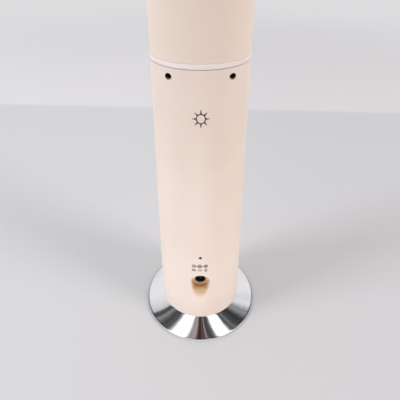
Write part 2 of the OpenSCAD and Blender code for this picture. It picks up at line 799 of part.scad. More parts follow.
module head_washers() {
    washer_t = 0.5 - slide_gap;
    color("dimgray") in_head() for (side = [-1, 1])
        ring_x(fork_r - 1.5, head_pin_d / 2 + seat_fit, washer_t, side * (lug_w / 2 + 0.5 - washer_t / 2));
}

module head_bracket() {
    lug_r = fork_r - 0.8;
    saddle_t = 2.2;
    shell_y = head_off - head_r;
    color(bright) in_head() difference() {
        union() {
            soft_disc_x(lug_r, lug_w, cast_edge);
            translate([-lug_w / 2, 0, -5.6]) cube([lug_w, shell_y + 0.6, 11.2]);
            intersection() {
                translate([0, head_off, -9]) cylinder(h = 18, r = head_r + saddle_t);
                translate([0, head_off, 0]) rotate([90, 0, 0]) cylinder(h = 60, r = 9);
            }
        }
        translate([0, head_off, -20]) cylinder(h = 40, r = head_r + seat_fit);
        disc_x(head_pin_d / 2 + run_fit, lug_w + 2);
        for (z = [-0.5, 0.5]) translate([0, shell_y + 2, z * bracket_pitch]) rotate([90, 0, 0])
            cylinder(h = shell_y - 2.2, r = small_screw_d / 2 + seat_fit);
    }
}

module bracket_screws() {
    shell_y = head_off - head_r;
    color("dimgray") in_head() for (z = [-0.5, 0.5])
        translate([0, shell_y + head_wall + 0.3, z * bracket_pitch]) rotate([90, 0, 0]) {
            cylinder(h = head_wall + 5, r = small_screw_d / 2);
            translate([0, 0, -1.3]) cylinder(h = 1.3, r = small_screw_d * 0.88);
        }
}

module head_shell() {
    in_r = head_r - head_wall;
    color(cream) difference() {
        on_head_axis() union() {
            translate([0, 0, -head_down]) ring(head_r, in_r, head_up + head_down);
            translate([0, 0, ledge_z]) ring(in_r + 0.5, in_r - 1.9, sink_z - ledge_z);
        }
        in_head() for (z = [-0.5, 0.5]) translate([0, head_off, z * bracket_pitch]) rotate([90, 0, 0])
            cylinder(h = head_d, r = small_screw_d / 2 + seat_fit);
    }
}

module head_cap() {
    skirt_r = head_r - head_wall - seat_fit;
    color(cream) on_head_axis() difference() {
        translate([0, 0, head_up]) rotate_extrude() difference() {
            union() {
                square([head_r - 2.5, 5.5]);
                square([head_r, 3]);
                translate([head_r - 2.5, 3]) intersection() {
                    circle(r = 2.5);
                    square([2.5, 2.5]);
                }
                translate([skirt_r - 1.6, -3]) square([1.6, 3.5]);
            }
            translate([0, -1]) square([head_r - 4.6, 4.4]);
        }
        round_axis(vent_n, 0) translate([8, -0.9, head_up]) cube([head_r - 15, 1.8, 9]);
    }
}

module heat_sink() {
    fin_r = head_r - head_wall - 2.4;
    fin_top = head_up - 4;
    color("silver") on_head_axis() {
        translate([0, 0, sink_z]) cylinder(h = 3.4, r = head_r - head_wall - 0.2);
        translate([0, 0, sink_z]) cylinder(h = fin_top - sink_z - 2.5, r = 6.5);
        round_axis(fin_n, 0, 180 / fin_n) translate([5, -fin_t / 2, sink_z + 3])
            cube([fin_r - 5, fin_t, fin_top - sink_z - 3]);
    }
}

module led_board() {
    color("white") on_head_axis() translate([0, 0, sink_z - 1.8])
        cylinder(h = 1.6, r = head_r - head_wall - 2.1);
}

module led_chips() {
    color("khaki") on_head_axis() translate([0, 0, sink_z - 2.6]) {
        round_axis(6, 5.4) translate([-1.4, -1.4, 0]) cube([2.8, 2.8, 0.8]);
        translate([-1.4, -1.4, 0]) cube([2.8, 2.8, 0.8]);
    }
}

module reflector() {
    wide = head_r - head_wall - 0.5;
    top_z = sink_z - 1.95;
    low_z = -head_down + lens_t + 0.7;
    color("white") on_head_axis() rotate_extrude()
        polygon([
            [9, top_z], [10.2, top_z], [wide, low_z + 1.6], [wide, low_z], [wide - 1.2, low_z]
        ]);
}

module diffuser() {
    color([0.95, 0.95, 0.93]) on_head_axis() translate([0, 0, -head_down + 0.15])
        cylinder(h = lens_t, r = head_r - head_wall - 0.2);
}

module head_flare() {
    collar_r = head_r + 1.2;
    flare_r = mouth_d / 2;
    color(bright) on_head_axis() translate([0, 0, -head_down]) rotate_extrude()
        polygon([
            [head_r + seat_fit, 5], [collar_r, 5], [collar_r, 0.4],
            [flare_r, 0.9 - mouth_h], [flare_r, -mouth_h], [flare_r - 1.2, -mouth_h],
            [flare_r - 1.2, 0.2 - mouth_h + 0.4], [head_r, -1.2], [head_r - 3.4, -1.2],
            [head_r - 3.4, 0], [head_r + seat_fit, 0]
        ]);
}

base_skirt();
foot_ring();
base_plate();
ballast();
base_screws();
column_shell();
jack_body();
jack_pin();
status_light();
main_board();
board_chips();
inner_frame();
battery_cells();
cell_straps();
touch_foil();
touch_foam();
top_plug();
grub_screws();
stop_pin();
swivel_bush();
trim_ring();
slip_washer();
turret_shell();
swivel_shaft();
flange_screws();
wave_washer();
stop_washer();
shaft_nut();
arm_pin();
pivot_caps();
friction_discs();
lower_knuckle();
arm_tube();
tube_rivets();
upper_fork();
head_pin();
fork_caps();
head_washers();
head_bracket();
bracket_screws();
head_shell();
head_cap();
heat_sink();
led_board();
led_chips();
reflector();
diffuser();
head_flare();
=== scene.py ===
import json
import math

import bmesh
import bpy
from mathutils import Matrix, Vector


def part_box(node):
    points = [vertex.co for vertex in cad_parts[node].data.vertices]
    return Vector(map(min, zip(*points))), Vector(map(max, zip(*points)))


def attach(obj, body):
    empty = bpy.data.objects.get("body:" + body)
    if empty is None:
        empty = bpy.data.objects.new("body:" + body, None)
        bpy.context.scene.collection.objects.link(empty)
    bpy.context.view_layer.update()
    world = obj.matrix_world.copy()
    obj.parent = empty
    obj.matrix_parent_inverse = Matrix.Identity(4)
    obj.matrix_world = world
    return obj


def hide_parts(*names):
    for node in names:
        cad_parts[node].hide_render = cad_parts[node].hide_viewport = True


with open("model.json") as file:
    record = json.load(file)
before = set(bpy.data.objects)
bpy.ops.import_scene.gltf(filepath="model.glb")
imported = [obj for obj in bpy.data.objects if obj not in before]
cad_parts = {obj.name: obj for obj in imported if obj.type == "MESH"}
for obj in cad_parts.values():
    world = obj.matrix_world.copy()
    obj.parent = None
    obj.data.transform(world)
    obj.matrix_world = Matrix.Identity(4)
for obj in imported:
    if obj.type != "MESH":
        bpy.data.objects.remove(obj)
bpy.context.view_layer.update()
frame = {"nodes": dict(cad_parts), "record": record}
nodes = frame["nodes"]
scene = bpy.context.scene
scene.view_settings.view_transform = "Standard"
print("stage: frame loaded,", len(nodes), "nodes")


# Sizes that the solids state, in metres and degrees
column = {"footTop": 0.011, "top": 0.1864, "footRadius": 0.029, "topRadius": 0.025}
headAxis = (0.0, 0.115436)
armRest = 52


# Camera: the photograph looks down on the back of the lamp
cameraSettings = {
    "place": (-0.00023, -0.17476, 0.23244),
    "tilt": 90 - 34.566,
    "lens": 30.651,
    "shiftY": -0.055,
}


def makeCamera(settings):
    data = bpy.data.cameras.new("camera")
    camera = bpy.data.objects.new("camera", data)
    scene.collection.objects.link(camera)
    camera.location = settings["place"]
    camera.rotation_euler = (math.radians(settings["tilt"]), 0, 0)
    data.sensor_width = 36
    data.lens = settings["lens"]
    data.shift_y = settings["shiftY"]
    data.clip_start = 0.005
    data.clip_end = 60
    scene.camera = camera


makeCamera(cameraSettings)
print("stage: camera")


# One socket of a node tree; arithmetic on it adds Math nodes
class Socket:
    def __init__(self, graph, socket):
        self.graph, self.socket = graph, socket

    def maths(self, operation, *values):
        return self.graph.add("ShaderNodeMath", dict(enumerate(values)), {"operation": operation})[0]

    def __add__(self, other):
        return self.maths("ADD", self, other)

    __radd__ = __add__

    def __sub__(self, other):
        return self.maths("SUBTRACT", self, other)

    def __rsub__(self, other):
        return self.maths("SUBTRACT", other, self)

    def __mul__(self, other):
        return self.maths("MULTIPLY", self, other)

    __rmul__ = __mul__

    def __truediv__(self, other):
        return self.maths("DIVIDE", self, other)

    def __pow__(self, other):
        return self.maths("POWER", self, other)

    def __abs__(self):
        return self.maths("ABSOLUTE", self)

    def __lt__(self, other):
        return self.maths("LESS_THAN", self, other)

    def __gt__(self, other):
        return self.maths("GREATER_THAN", self, other)

    def sine(self):
        return self.maths("SINE", self)

    def cosine(self):
        return self.maths("COSINE", self)

    def atLeast(self, other):
        return self.maths("MAXIMUM", self, other)

    def atMost(self, other):
        return self.maths("MINIMUM", self, other)

    # A smooth step from low to high
    def ramp(self, low, high, toLow=0.0, toHigh=1.0):
        return self.graph.add("ShaderNodeMapRange", {0: self, 1: low, 2: high, 3: toLow, 4: toHigh},
                              {"interpolation_type": "SMOOTHSTEP"})[0]

    # The same step from one down to nothing
    def fall(self, low, high):
        return self.ramp(low, high, 1.0, 0.0)


# A node tree with one method for any node: its kind, its inputs, then its settings
class Graph:
    def __init__(self, tree):
        self.tree = tree
        tree.nodes.clear()

    def add(self, kind, inputs=None, settings=None):
        node = self.tree.nodes.new(kind)
        for name, value in (settings or {}).items():
            if name == "stops":
                elements = node.color_ramp.elements
                while len(elements) < len(value):
                    elements.new(0.5)
                for element, (place, colour) in zip(elements, value):
                    element.position = place
                    element.color = (*colour, 1.0)
            else:
                setattr(node, name, value)
        for key, value in (inputs or {}).items():
            socket = node.inputs[key]
            if isinstance(value, Socket):
                self.tree.links.new(value.socket, socket)
            elif isinstance(value, list):
                for part in value:
                    self.tree.links.new(part.socket, socket)
            elif isinstance(value, tuple) and len(value) == 3 and len(socket.default_value) == 4:
                socket.default_value = (*value, 1.0)
            else:
                socket.default_value = value
        return [Socket(self, output) for output in node.outputs]

    def mix(self, share, first, second):
        return self.add("ShaderNodeMix", {0: share, 6: first, 7: second}, {"data_type": "RGBA"})[2]

    def multiply(self, tone, factor, share=1.0):
        return self.add("ShaderNodeMix", {0: share, 6: tone, 7: factor},
                        {"data_type": "RGBA", "blend_type": "MULTIPLY"})[2]

    # Lays an even glow over a shader
    def glow(self, shader, share, tone):
        light = self.add("ShaderNodeEmission", {0: tone, 1: 1.0})[0]
        return self.add("ShaderNodeMixShader", {0: share, 1: shader, 2: light})[0]

    def noise(self, place, scale, detail=3.0, roughness=0.55, distortion=0.0):
        return self.add("ShaderNodeTexNoise", {
            "Vector": place, "Scale": scale, "Detail": detail,
            "Roughness": roughness, "Distortion": distortion})[0]

    def cells(self, place, scale):
        return self.add("ShaderNodeTexVoronoi", {"Vector": place, "Scale": scale})[0]

    # Noise drawn out along an axis, with a scale for each of X, Y and Z
    def lines(self, place, scales, *levels):
        stretched = self.add("ShaderNodeMapping", {"Vector": place, "Scale": scales})[0]
        return self.noise(stretched, 1.0, *levels)

    def turned(self, place, degrees):
        turn = tuple(math.radians(value) for value in degrees)
        return self.add("ShaderNodeMapping", {"Vector": place, "Rotation": turn})[0]

    # One step of a geometry tree, named without its prefix
    def shape(self, kind, inputs=None):
        return self.add("GeometryNode" + kind, inputs)[0]

    def moved(self, geometry, how):
        return self.shape("Transform", {"Geometry": geometry, **how})

    def split(self, vector):
        return self.add("ShaderNodeSeparateXYZ", {0: vector})

    def join(self, x, y, z):
        return self.add("ShaderNodeCombineXYZ", {0: x, 1: y, 2: z})[0]

    def bump(self, height, strength, distance, below=None):
        inputs = {"Height": height, "Strength": strength, "Distance": distance}
        if below is not None:
            inputs["Normal"] = below
        return self.add("ShaderNodeBump", inputs)[0]


def axisDistance(x, y):
    return (x * x + y * y) ** 0.5


# Degrees round the upright axis from the back of the lamp, positive to the right
def fromBack(x, y):
    return x.maths("ARCTAN2", x, y * -1.0) * (180 / math.pi)


# A material on object coordinates, named after the function that builds its look. Its surface is one
# Principled shader, which an overlay may cover for some rays
def makeMaterial(build, fixed=None, shown=(0.6, 0.6, 0.6), overlay=None):
    material = bpy.data.materials.new(build.__name__)
    material.use_nodes = True
    graph = Graph(material.node_tree)
    place = graph.add("ShaderNodeTexCoord")[3]
    inputs = {**(fixed or {}), **build(graph, place)}
    shader = graph.add("ShaderNodeBsdfPrincipled", inputs)[0]
    if overlay is not None:
        shader = overlay(graph, place, shader)
    graph.add("ShaderNodeOutputMaterial", {0: shader})
    material.diffuse_color = (*shown, 1.0)
    return material


# What a finish feeds its Principled shader
def principled(tone, roughness, normal, metallic=None):
    inputs = {"Base Color": tone, "Roughness": roughness, "Normal": normal}
    return inputs if metallic is None else {**inputs, "Metallic": metallic}


# Moulded plastics

creamLook = {
    "tone": (0.866, 0.706, 0.610), "warmTone": (0.848, 0.678, 0.572), "speck": (0.80, 0.63, 0.52),
    "cloudScale": 24.0, "roughness": 0.34, "grainScale": 4600.0, "grainDepth": 0.00001,
    "peelScale": 300.0, "peelDepth": 0.00003,
}


def creamPlastic(graph, place):
    look = creamLook
    cloud = graph.noise(place, look["cloudScale"], 2.0)
    grain = graph.noise(place, look["grainScale"], 2.0)
    peel = graph.noise(place, look["peelScale"], 2.0)
    tone = graph.mix(cloud.ramp(0.36, 0.64), look["tone"], look["warmTone"])
    tone = graph.mix(grain.ramp(0.62, 0.76) * 0.3, tone, look["speck"])
    normal = graph.bump(grain, 0.3, look["grainDepth"])
    normal = graph.bump(peel, 0.4, look["peelDepth"], normal)
    return principled(tone, look["roughness"] + cloud * 0.08 + peel * 0.06, normal)


# The column's recess has painted shade: darker and tan under the socket, fading down the finger scoop
recessShadeLook = {
    "tan": (0.47, 0.275, 0.13), "halfWidth": 0.0056, "soft": 0.0016, "shallow": 0.0, "deep": 0.0008,
    "top": 0.0510, "fullTop": 0.0450, "fullLow": 0.0425, "half": 0.0385, "low": 0.0298,
    "lip": 0.0412, "aboveLip": 0.0446, "aboveShare": 0.60,
    "lightHeight": 0.0701, "lightRadius": 0.00098, "holeShade": (0.02, 0.013, 0.010),
}


def columnPlastic(graph, place):
    look = recessShadeLook
    surface = creamPlastic(graph, place)
    x, y, z = graph.split(place)
    slope = (column["topRadius"] - column["footRadius"]) / (column["top"] - column["footTop"])
    skin = (z - column["footTop"]) * slope + column["footRadius"]
    deep = skin - axisDistance(x, y)
    side = abs(x).fall(look["halfWidth"] - look["soft"], look["halfWidth"] + look["soft"])
    under = z.ramp(look["low"], look["half"], 0.0, 0.5) + z.ramp(look["half"], look["fullLow"], 0.0, 0.5)
    under = under * z.fall(look["fullTop"], look["top"])
    under = under * z.ramp(look["lip"], look["aboveLip"], 1.0, look["aboveShare"])
    # painted shade: the recess under the socket is tinted tan and darker, fading down the scoop
    shade = side * under * deep.ramp(look["shallow"], look["deep"]) * (y < 0)
    tan = graph.add("ShaderNodeGamma", {0: look["tan"], 1: shade})[0]
    tone = graph.multiply(surface["Base Color"], tan)
    # painted shade: a dark disc painted on the indicator light's hole
    offset = z - look["lightHeight"]
    bore = (axisDistance(x, offset) < look["lightRadius"]) * (y < 0)
    return {**surface, "Base Color": graph.mix(bore, tone, look["holeShade"])}


blackLook = {"tone": (0.013, 0.013, 0.014), "rubbed": (0.04, 0.04, 0.042), "roughness": 0.38}


def blackPlastic(graph, place):
    look = blackLook
    cloud = graph.noise(place, 260.0)
    grain = graph.noise(place, 5200.0, 2.0)
    tone = graph.mix(cloud.ramp(0.5, 0.75), look["tone"], look["rubbed"])
    return principled(tone, look["roughness"] + grain * 0.2, graph.bump(grain, 0.6, 0.00002))


whiteLook = {"tone": (0.80, 0.80, 0.77), "aged": (0.76, 0.74, 0.68), "roughness": 0.42}


def whitePlastic(graph, place):
    look = whiteLook
    cloud = graph.noise(place, 60.0)
    flow = graph.lines(place, (260.0, 260.0, 34.0))
    tone = graph.mix(cloud.ramp(0.4, 0.7), look["tone"], look["aged"])
    return principled(tone, look["roughness"] + flow * 0.12, graph.bump(flow, 0.35, 0.00002))


opalLook = {"tone": (0.86, 0.85, 0.81), "shade": (0.82, 0.80, 0.74), "prismPitch": 2800.0,
            "glow": (1.0, 0.96, 0.90), "glowLevel": 0.26}


def opalPlastic(graph, place):
    look = opalLook
    x, y, z = graph.split(place)
    prisms = (x * look["prismPitch"]).sine() * (y * look["prismPitch"]).sine()
    cloud = graph.noise(place, 90.0, 2.0)
    tone = graph.mix(cloud.ramp(0.35, 0.7), look["tone"], look["shade"])
    return principled(tone, 0.36 + cloud * 0.15, graph.bump(prisms, 0.5, 0.00005))


clearLook = {"tone": (0.012, 0.009, 0.008), "dusty": (0.05, 0.04, 0.034)}


def clearPlastic(graph, place):
    look = clearLook
    dust = graph.noise(place, 1800.0)
    tone = graph.mix(dust.ramp(0.55, 0.8), look["tone"], look["dusty"])
    return principled(tone, 0.3 + dust * 0.2, graph.bump(dust, 0.3, 0.00002))


inkLook = {"tone": (0.022, 0.014, 0.009), "thin": (0.07, 0.05, 0.036)}


def printedInk(graph, place):
    look = inkLook
    patch = graph.noise(place, 3400.0)
    tone = graph.mix(patch.ramp(0.45, 0.75), look["tone"], look["thin"])
    return principled(tone, 0.5 + patch * 0.2, graph.bump(patch, 0.5, 0.00001))


rubberLook = {"tone": (0.016, 0.016, 0.017), "chalk": (0.07, 0.068, 0.065), "ribPitch": 5200.0}


def blackRubber(graph, place):
    look = rubberLook
    x, y, z = graph.split(place)
    radius = axisDistance(x, y)
    ribs = (radius * look["ribPitch"]).sine()
    grain = graph.noise(place, 3000.0, 4.0)
    dust = graph.noise(place, 140.0)
    tone = graph.mix(dust.ramp(0.5, 0.8) * 0.6, look["tone"], look["chalk"])
    normal = graph.bump(grain, 0.7, 0.00004, graph.bump(ribs, 0.5, 0.00008))
    return principled(tone, 0.72 + grain * 0.2, normal)


# Bright and plain metals

chromeLook = {"tone": (0.93, 0.93, 0.935), "film": (0.88, 0.885, 0.90), "roughness": 0.035,
              "spinPitch": 2600.0, "waveScale": 70.0, "waveDepth": 0.00006}


def brightChrome(graph, place):
    look = chromeLook
    smear = graph.lines(place, (26.0, 26.0, 60.0), 4.0, 0.6, 0.6)
    spin = graph.lines(place, (30.0, 30.0, look["spinPitch"]), 2.0)
    dust = graph.noise(place, 1500.0, 2.0)
    wave = graph.noise(place, look["waveScale"], 2.0)
    tone = graph.mix(smear.ramp(0.45, 0.75), look["tone"], look["film"])
    rough = look["roughness"] + smear.ramp(0.5, 0.8) * 0.05 + dust.ramp(0.66, 0.8) * 0.1
    normal = graph.bump(wave, 0.35, look["waveDepth"])
    normal = graph.bump(spin, 0.05, 0.00001, normal)
    return principled(tone, rough, normal)


# The foot's rolled edge is painted darker, a painted dark reflection, but for the part that faces the back
paintedRimReflection = {"tone": (0.30, 0.29, 0.30), "inner": 0.0404, "outer": 0.0409, "shadedFacing": 0.45, "clearFacing": 0.80}


def footChrome(graph, place):
    look = paintedRimReflection
    surface = brightChrome(graph, place)
    x, y, z = graph.split(place)
    radius = axisDistance(x, y)
    facing = (y * -1.0) / radius
    # painted reflection: the rim is darkened except where it faces the back
    edge = radius.ramp(look["inner"], look["outer"]) * facing.fall(look["shadedFacing"], look["clearFacing"])
    return {**surface, "Base Color": graph.mix(edge, surface["Base Color"], look["tone"])}


trimLook = {"tone": (0.95, 0.825, 0.785), "film": (0.93, 0.80, 0.76), "roughness": 0.30, "spinPitch": 5200.0}


def satinTrim(graph, place):
    look = trimLook
    smear = graph.noise(place, 60.0)
    spin = graph.lines(place, (50.0, 50.0, look["spinPitch"]))
    tone = graph.mix(smear.ramp(0.4, 0.7), look["tone"], look["film"])
    return principled(tone, look["roughness"] + smear * 0.08 + spin * 0.06, graph.bump(spin, 0.2, 0.00001))


pinLook = {"tone": (0.10, 0.085, 0.075), "rubbed": (0.22, 0.20, 0.18)}


def socketMetal(graph, place):
    look = pinLook
    rub = graph.lines(place, (3000.0, 400.0, 3000.0))
    return principled(graph.mix(rub.ramp(0.45, 0.7), look["tone"], look["rubbed"]), 0.35 + rub * 0.15,
                      graph.bump(rub, 0.25, 0.00001))


tubeLook = {"drawPitch": 2200.0, "roughness": 0.05}


def drawnChrome(graph, place):
    look = tubeLook
    along = graph.turned(place, (90 - armRest, 0, 0))
    lines = graph.lines(along, (look["drawPitch"], look["drawPitch"], 9.0))
    smear = graph.noise(place, 42.0, 4.0, 0.6, 0.8)
    tone = graph.mix(smear.ramp(0.45, 0.75), chromeLook["tone"], chromeLook["film"])
    rough = look["roughness"] + smear.ramp(0.5, 0.8) * 0.08 + lines * 0.04
    return principled(tone, rough, graph.bump(lines, 0.12, 0.00001))


castLook = {"tone": (0.80, 0.805, 0.82), "pit": (0.62, 0.62, 0.64), "roughness": 0.13}


def brightCast(graph, place):
    look = castLook
    peel = graph.noise(place, 420.0)
    pits = graph.cells(place, 1300.0)
    smear = graph.noise(place, 48.0, 4.0, 0.6, 0.5)
    tone = graph.mix(pits.ramp(0.0, 0.16, 0.7, 0.0), look["tone"], look["pit"])
    rough = look["roughness"] + smear.ramp(0.4, 0.8) * 0.12 + peel * 0.05
    normal = graph.bump(peel, 0.35, 0.00005, graph.bump(pits.ramp(0.0, 0.2), 0.3, 0.00002))
    return principled(tone, rough, normal)


zincLook = {"tone": (0.56, 0.575, 0.60), "blue": (0.48, 0.52, 0.60), "yellow": (0.60, 0.57, 0.48)}


def zincSteel(graph, place):
    look = zincLook
    hue = graph.noise(place, 55.0, 3.0, 0.6, 1.0)
    flake = graph.cells(place, 520.0)
    lines = graph.lines(place, (1500.0, 60.0, 1500.0))
    tone = graph.mix(hue.ramp(0.3, 0.5), look["blue"], look["tone"])
    tone = graph.mix(hue.ramp(0.55, 0.75), tone, look["yellow"])
    rough = 0.28 + flake * 0.25 + lines * 0.1
    normal = graph.bump(lines, 0.3, 0.00002, graph.bump(flake, 0.2, 0.00002))
    return principled(tone, rough, normal)


ironLook = {"tone": (0.085, 0.085, 0.09), "rust": (0.12, 0.075, 0.05), "sandScale": 900.0}


def castWeight(graph, place):
    look = ironLook
    sand = graph.noise(place, look["sandScale"], 4.0, 0.65)
    lumps = graph.cells(place, 180.0)
    patch = graph.noise(place, 70.0, 4.0)
    tone = graph.mix(patch.ramp(0.58, 0.72) * 0.7, look["tone"], look["rust"])
    normal = graph.bump(sand, 0.9, 0.00015, graph.bump(lumps, 0.4, 0.0002))
    return principled(tone, 0.62 + sand * 0.25, normal, 0.75 - patch.ramp(0.55, 0.75) * 0.6)


screwLook = {"tone": (0.026, 0.016, 0.012), "worn": (0.30, 0.25, 0.21)}


def blackScrew(graph, place):
    look = screwLook
    wear = graph.noise(place, 1500.0, 4.0, 0.65)
    rings = graph.lines(place, (400.0, 400.0, 6000.0), 2.0)
    tone = graph.mix(wear.ramp(0.62, 0.76), look["tone"], look["worn"])
    return principled(tone, 0.34 + wear * 0.25, graph.bump(rings, 0.35, 0.00003), 0.9)


brassLook = {"tone": (0.66, 0.47, 0.20), "dull": (0.42, 0.29, 0.13)}


def brassPart(graph, place):
    look = brassLook
    tarnish = graph.noise(place, 130.0, 4.0, 0.6, 0.7)
    rings = graph.lines(place, (60.0, 60.0, 7000.0), 2.0)
    tone = graph.mix(tarnish.ramp(0.45, 0.75), look["tone"], look["dull"])
    return principled(tone, 0.2 + tarnish * 0.25 + rings * 0.08, graph.bump(rings, 0.3, 0.00002))


nickelLook = {"tone": (0.60, 0.56, 0.50), "heat": (0.42, 0.34, 0.27), "weldPitch": 380.0}


def nickelStrip(graph, place):
    look = nickelLook
    welds = graph.cells(place, look["weldPitch"])
    lines = graph.lines(place, (60.0, 2600.0, 2600.0))
    tone = graph.mix(welds.ramp(0.0, 0.25, 0.8, 0.0), look["tone"], look["heat"])
    normal = graph.bump(lines, 0.25, 0.00001, graph.bump(welds.ramp(0.05, 0.3), 0.6, 0.00005))
    return principled(tone, 0.22 + lines * 0.2, normal)


aluminiumLook = {"tone": (0.66, 0.67, 0.68), "oxide": (0.52, 0.53, 0.54)}


def rawAluminium(graph, place):
    look = aluminiumLook
    lines = graph.lines(place, (2400.0, 2400.0, 46.0))
    oxide = graph.noise(place, 160.0, 4.0)
    tone = graph.mix(oxide.ramp(0.45, 0.75), look["tone"], look["oxide"])
    return principled(tone, 0.3 + oxide * 0.2 + lines * 0.08, graph.bump(lines, 0.35, 0.00002))


# Board, cells, foam and the other inner finishes

boardLook = {"mask": (0.012, 0.115, 0.045), "track": (0.03, 0.20, 0.085), "pad": (0.62, 0.58, 0.48),
             "trackPitch": 620.0, "bend": 0.003, "rowPitch": 310.0, "padScale": 260.0}


def boardGreen(graph, place):
    look = boardLook
    x, y, z = graph.split(place)
    flat = graph.join(x, z, 0.0)
    bend = graph.noise(flat, 120.0, 1.0)
    lanes = ((x + bend.ramp(0.3, 0.7) * look["bend"]) * look["trackPitch"] * math.pi).sine()
    rows = (z * look["rowPitch"]).sine()
    track = lanes.ramp(0.55, 0.75) * rows.ramp(-0.7, -0.4)
    pads = graph.cells(flat, look["padScale"]).fall(0.10, 0.13)
    tone = graph.mix(track, look["mask"], look["track"])
    tone = graph.mix(pads, tone, look["pad"])
    return principled(tone, 0.3 - pads * 0.08, graph.bump(track + pads, 0.5, 0.00003), pads * 0.9)


cellLook = {"sleeve": (0.035, 0.26, 0.13), "fold": (0.02, 0.17, 0.085), "steel": (0.62, 0.62, 0.60),
            "low": 0.0801, "high": 0.1451, "shrunk": 0.004, "endFace": 0.0003, "cap": 0.0011}


def cellGreen(graph, place):
    look = cellLook
    z = graph.split(place)[2]
    wrinkle = graph.lines(place, (700.0, 700.0, 90.0))
    nearEnd = (z - look["low"]).atMost(look["high"] - z)
    shrink = nearEnd.fall(0.0, look["shrunk"])
    endFace = nearEnd < look["endFace"]
    cap = z > look["high"] - look["cap"]
    tone = graph.mix(wrinkle.ramp(0.4, 0.7), look["sleeve"], look["fold"])
    tone = graph.mix(cap, graph.mix(endFace, tone, look["steel"]), look["steel"])
    metal = endFace.atLeast(cap)
    return principled(tone, 0.22 + wrinkle * 0.12, graph.bump(wrinkle * shrink, 0.8, 0.0002), metal * 0.95)


foamLook = {"tone": (0.045, 0.045, 0.05), "poreShade": (0.012, 0.012, 0.014)}


def greyFoam(graph, place):
    look = foamLook
    pores = graph.cells(place, 2200.0)
    # painted shade: the pores are painted darker at their centres
    tone = graph.mix(pores.ramp(0.1, 0.5), look["poreShade"], look["tone"])
    return principled(tone, 0.9, graph.bump(pores, 0.9, 0.0002))


fibreLook = {"tone": (0.055, 0.042, 0.034), "thread": (0.10, 0.082, 0.066), "speck": (0.42, 0.31, 0.15)}


def frictionFibre(graph, place):
    look = fibreLook
    threads = graph.lines(place, (500.0, 3600.0, 900.0), 4.0)
    specks = graph.cells(place, 1900.0).fall(0.05, 0.12)
    tone = graph.mix(threads.ramp(0.4, 0.7), look["tone"], look["thread"])
    tone = graph.mix(specks, tone, look["speck"])
    return principled(tone, 0.75 - specks * 0.4, graph.bump(threads, 0.7, 0.00006), specks * 0.8)


phosphorLook = {"tone": (0.80, 0.56, 0.10), "rim": (0.82, 0.80, 0.74)}


def ledYellow(graph, place):
    look = phosphorLook
    powder = graph.noise(place, 9000.0, 2.0)
    tone = graph.mix(powder.ramp(0.35, 0.7) * 0.3, look["rim"], look["tone"])
    return principled(tone, 0.45 + powder * 0.2, graph.bump(powder, 0.4, 0.00001))


def phosphorDome(graph, place):
    look = phosphorLook
    powder = graph.noise(place, 12000.0, 2.0)
    tone = graph.mix(powder.ramp(0.3, 0.8) * 0.35, look["tone"], look["rim"])
    return principled(tone, 0.25 + powder * 0.2, graph.bump(powder, 0.3, 0.00001))


metal = {"Metallic": 1.0}
opalInputs = {"Transmission Weight": 0.18, "Emission Color": opalLook["glow"],
              "Emission Strength": opalLook["glowLevel"]}
finishRows = {
    "cream_plastic": (creamPlastic, {"IOR": 1.46}, (0.86, 0.72, 0.64)),
    "bright_chrome": (brightChrome, metal, (0.8, 0.8, 0.82)),
    "bright_cast": (brightCast, metal, (0.75, 0.75, 0.77)),
    "black_rubber": (blackRubber, None, (0.03, 0.03, 0.03)),
    "zinc_steel": (zincSteel, metal, (0.5, 0.5, 0.55)),
    "cast_weight": (castWeight, None, (0.1, 0.1, 0.1)),
    "black_screw": (blackScrew, None, (0.05, 0.05, 0.05)),
    "black_plastic": (blackPlastic, None, (0.02, 0.02, 0.02)),
    "clear_plastic": (clearPlastic, {"Specular IOR Level": 0.3}, (0.1, 0.1, 0.1)),
    "board_green": (boardGreen, {"Coat Weight": 0.3}, (0.02, 0.2, 0.1)),
    "white_plastic": (whitePlastic, None, (0.8, 0.8, 0.78)),
    "cell_green": (cellGreen, {"Coat Weight": 0.2}, (0.05, 0.3, 0.15)),
    "nickel_strip": (nickelStrip, metal, (0.6, 0.56, 0.5)),
    "brass_part": (brassPart, metal, (0.65, 0.45, 0.2)),
    "grey_foam": (greyFoam, None, (0.05, 0.05, 0.05)),
    "friction_fibre": (frictionFibre, None, (0.07, 0.05, 0.04)),
    "raw_aluminium": (rawAluminium, metal, (0.6, 0.6, 0.6)),
    "led_yellow": (ledYellow, None, (0.8, 0.6, 0.2)),
    "opal_plastic": (opalPlastic, opalInputs, (0.85, 0.85, 0.8)),
}
finishes = {slot: makeMaterial(*row) for slot, row in finishRows.items()}
drawnFinish = makeMaterial(drawnChrome, metal, (0.8, 0.8, 0.82))
inkFinish = makeMaterial(printedInk, None, (0.06, 0.05, 0.04))
columnFinish = makeMaterial(columnPlastic, {"IOR": 1.46}, (0.86, 0.72, 0.64))
footFinish = makeMaterial(footChrome, metal, (0.8, 0.8, 0.82))
trimFinish = makeMaterial(satinTrim, {"Metallic": 0.12}, (0.9, 0.82, 0.78))
pinFinish = makeMaterial(socketMetal, metal, (0.1, 0.09, 0.08))
phosphorFinish = makeMaterial(phosphorDome, {"Coat Weight": 0.5}, (0.8, 0.56, 0.1))


def dress(piece, material):
    slots = piece.data.materials
    if len(slots) == 0:
        slots.append(material)
    for index in range(len(slots)):
        slots[index] = material


for row in frame["record"]["subparts"]:
    dress(nodes[row["node"]], finishes[row["material_slot"]])
dress(nodes["arm_tube"], drawnFinish)
dress(nodes["column_shell"], columnFinish)
dress(nodes["jack_pin"], pinFinish)
print("stage: finishes on", len(nodes), "nodes")


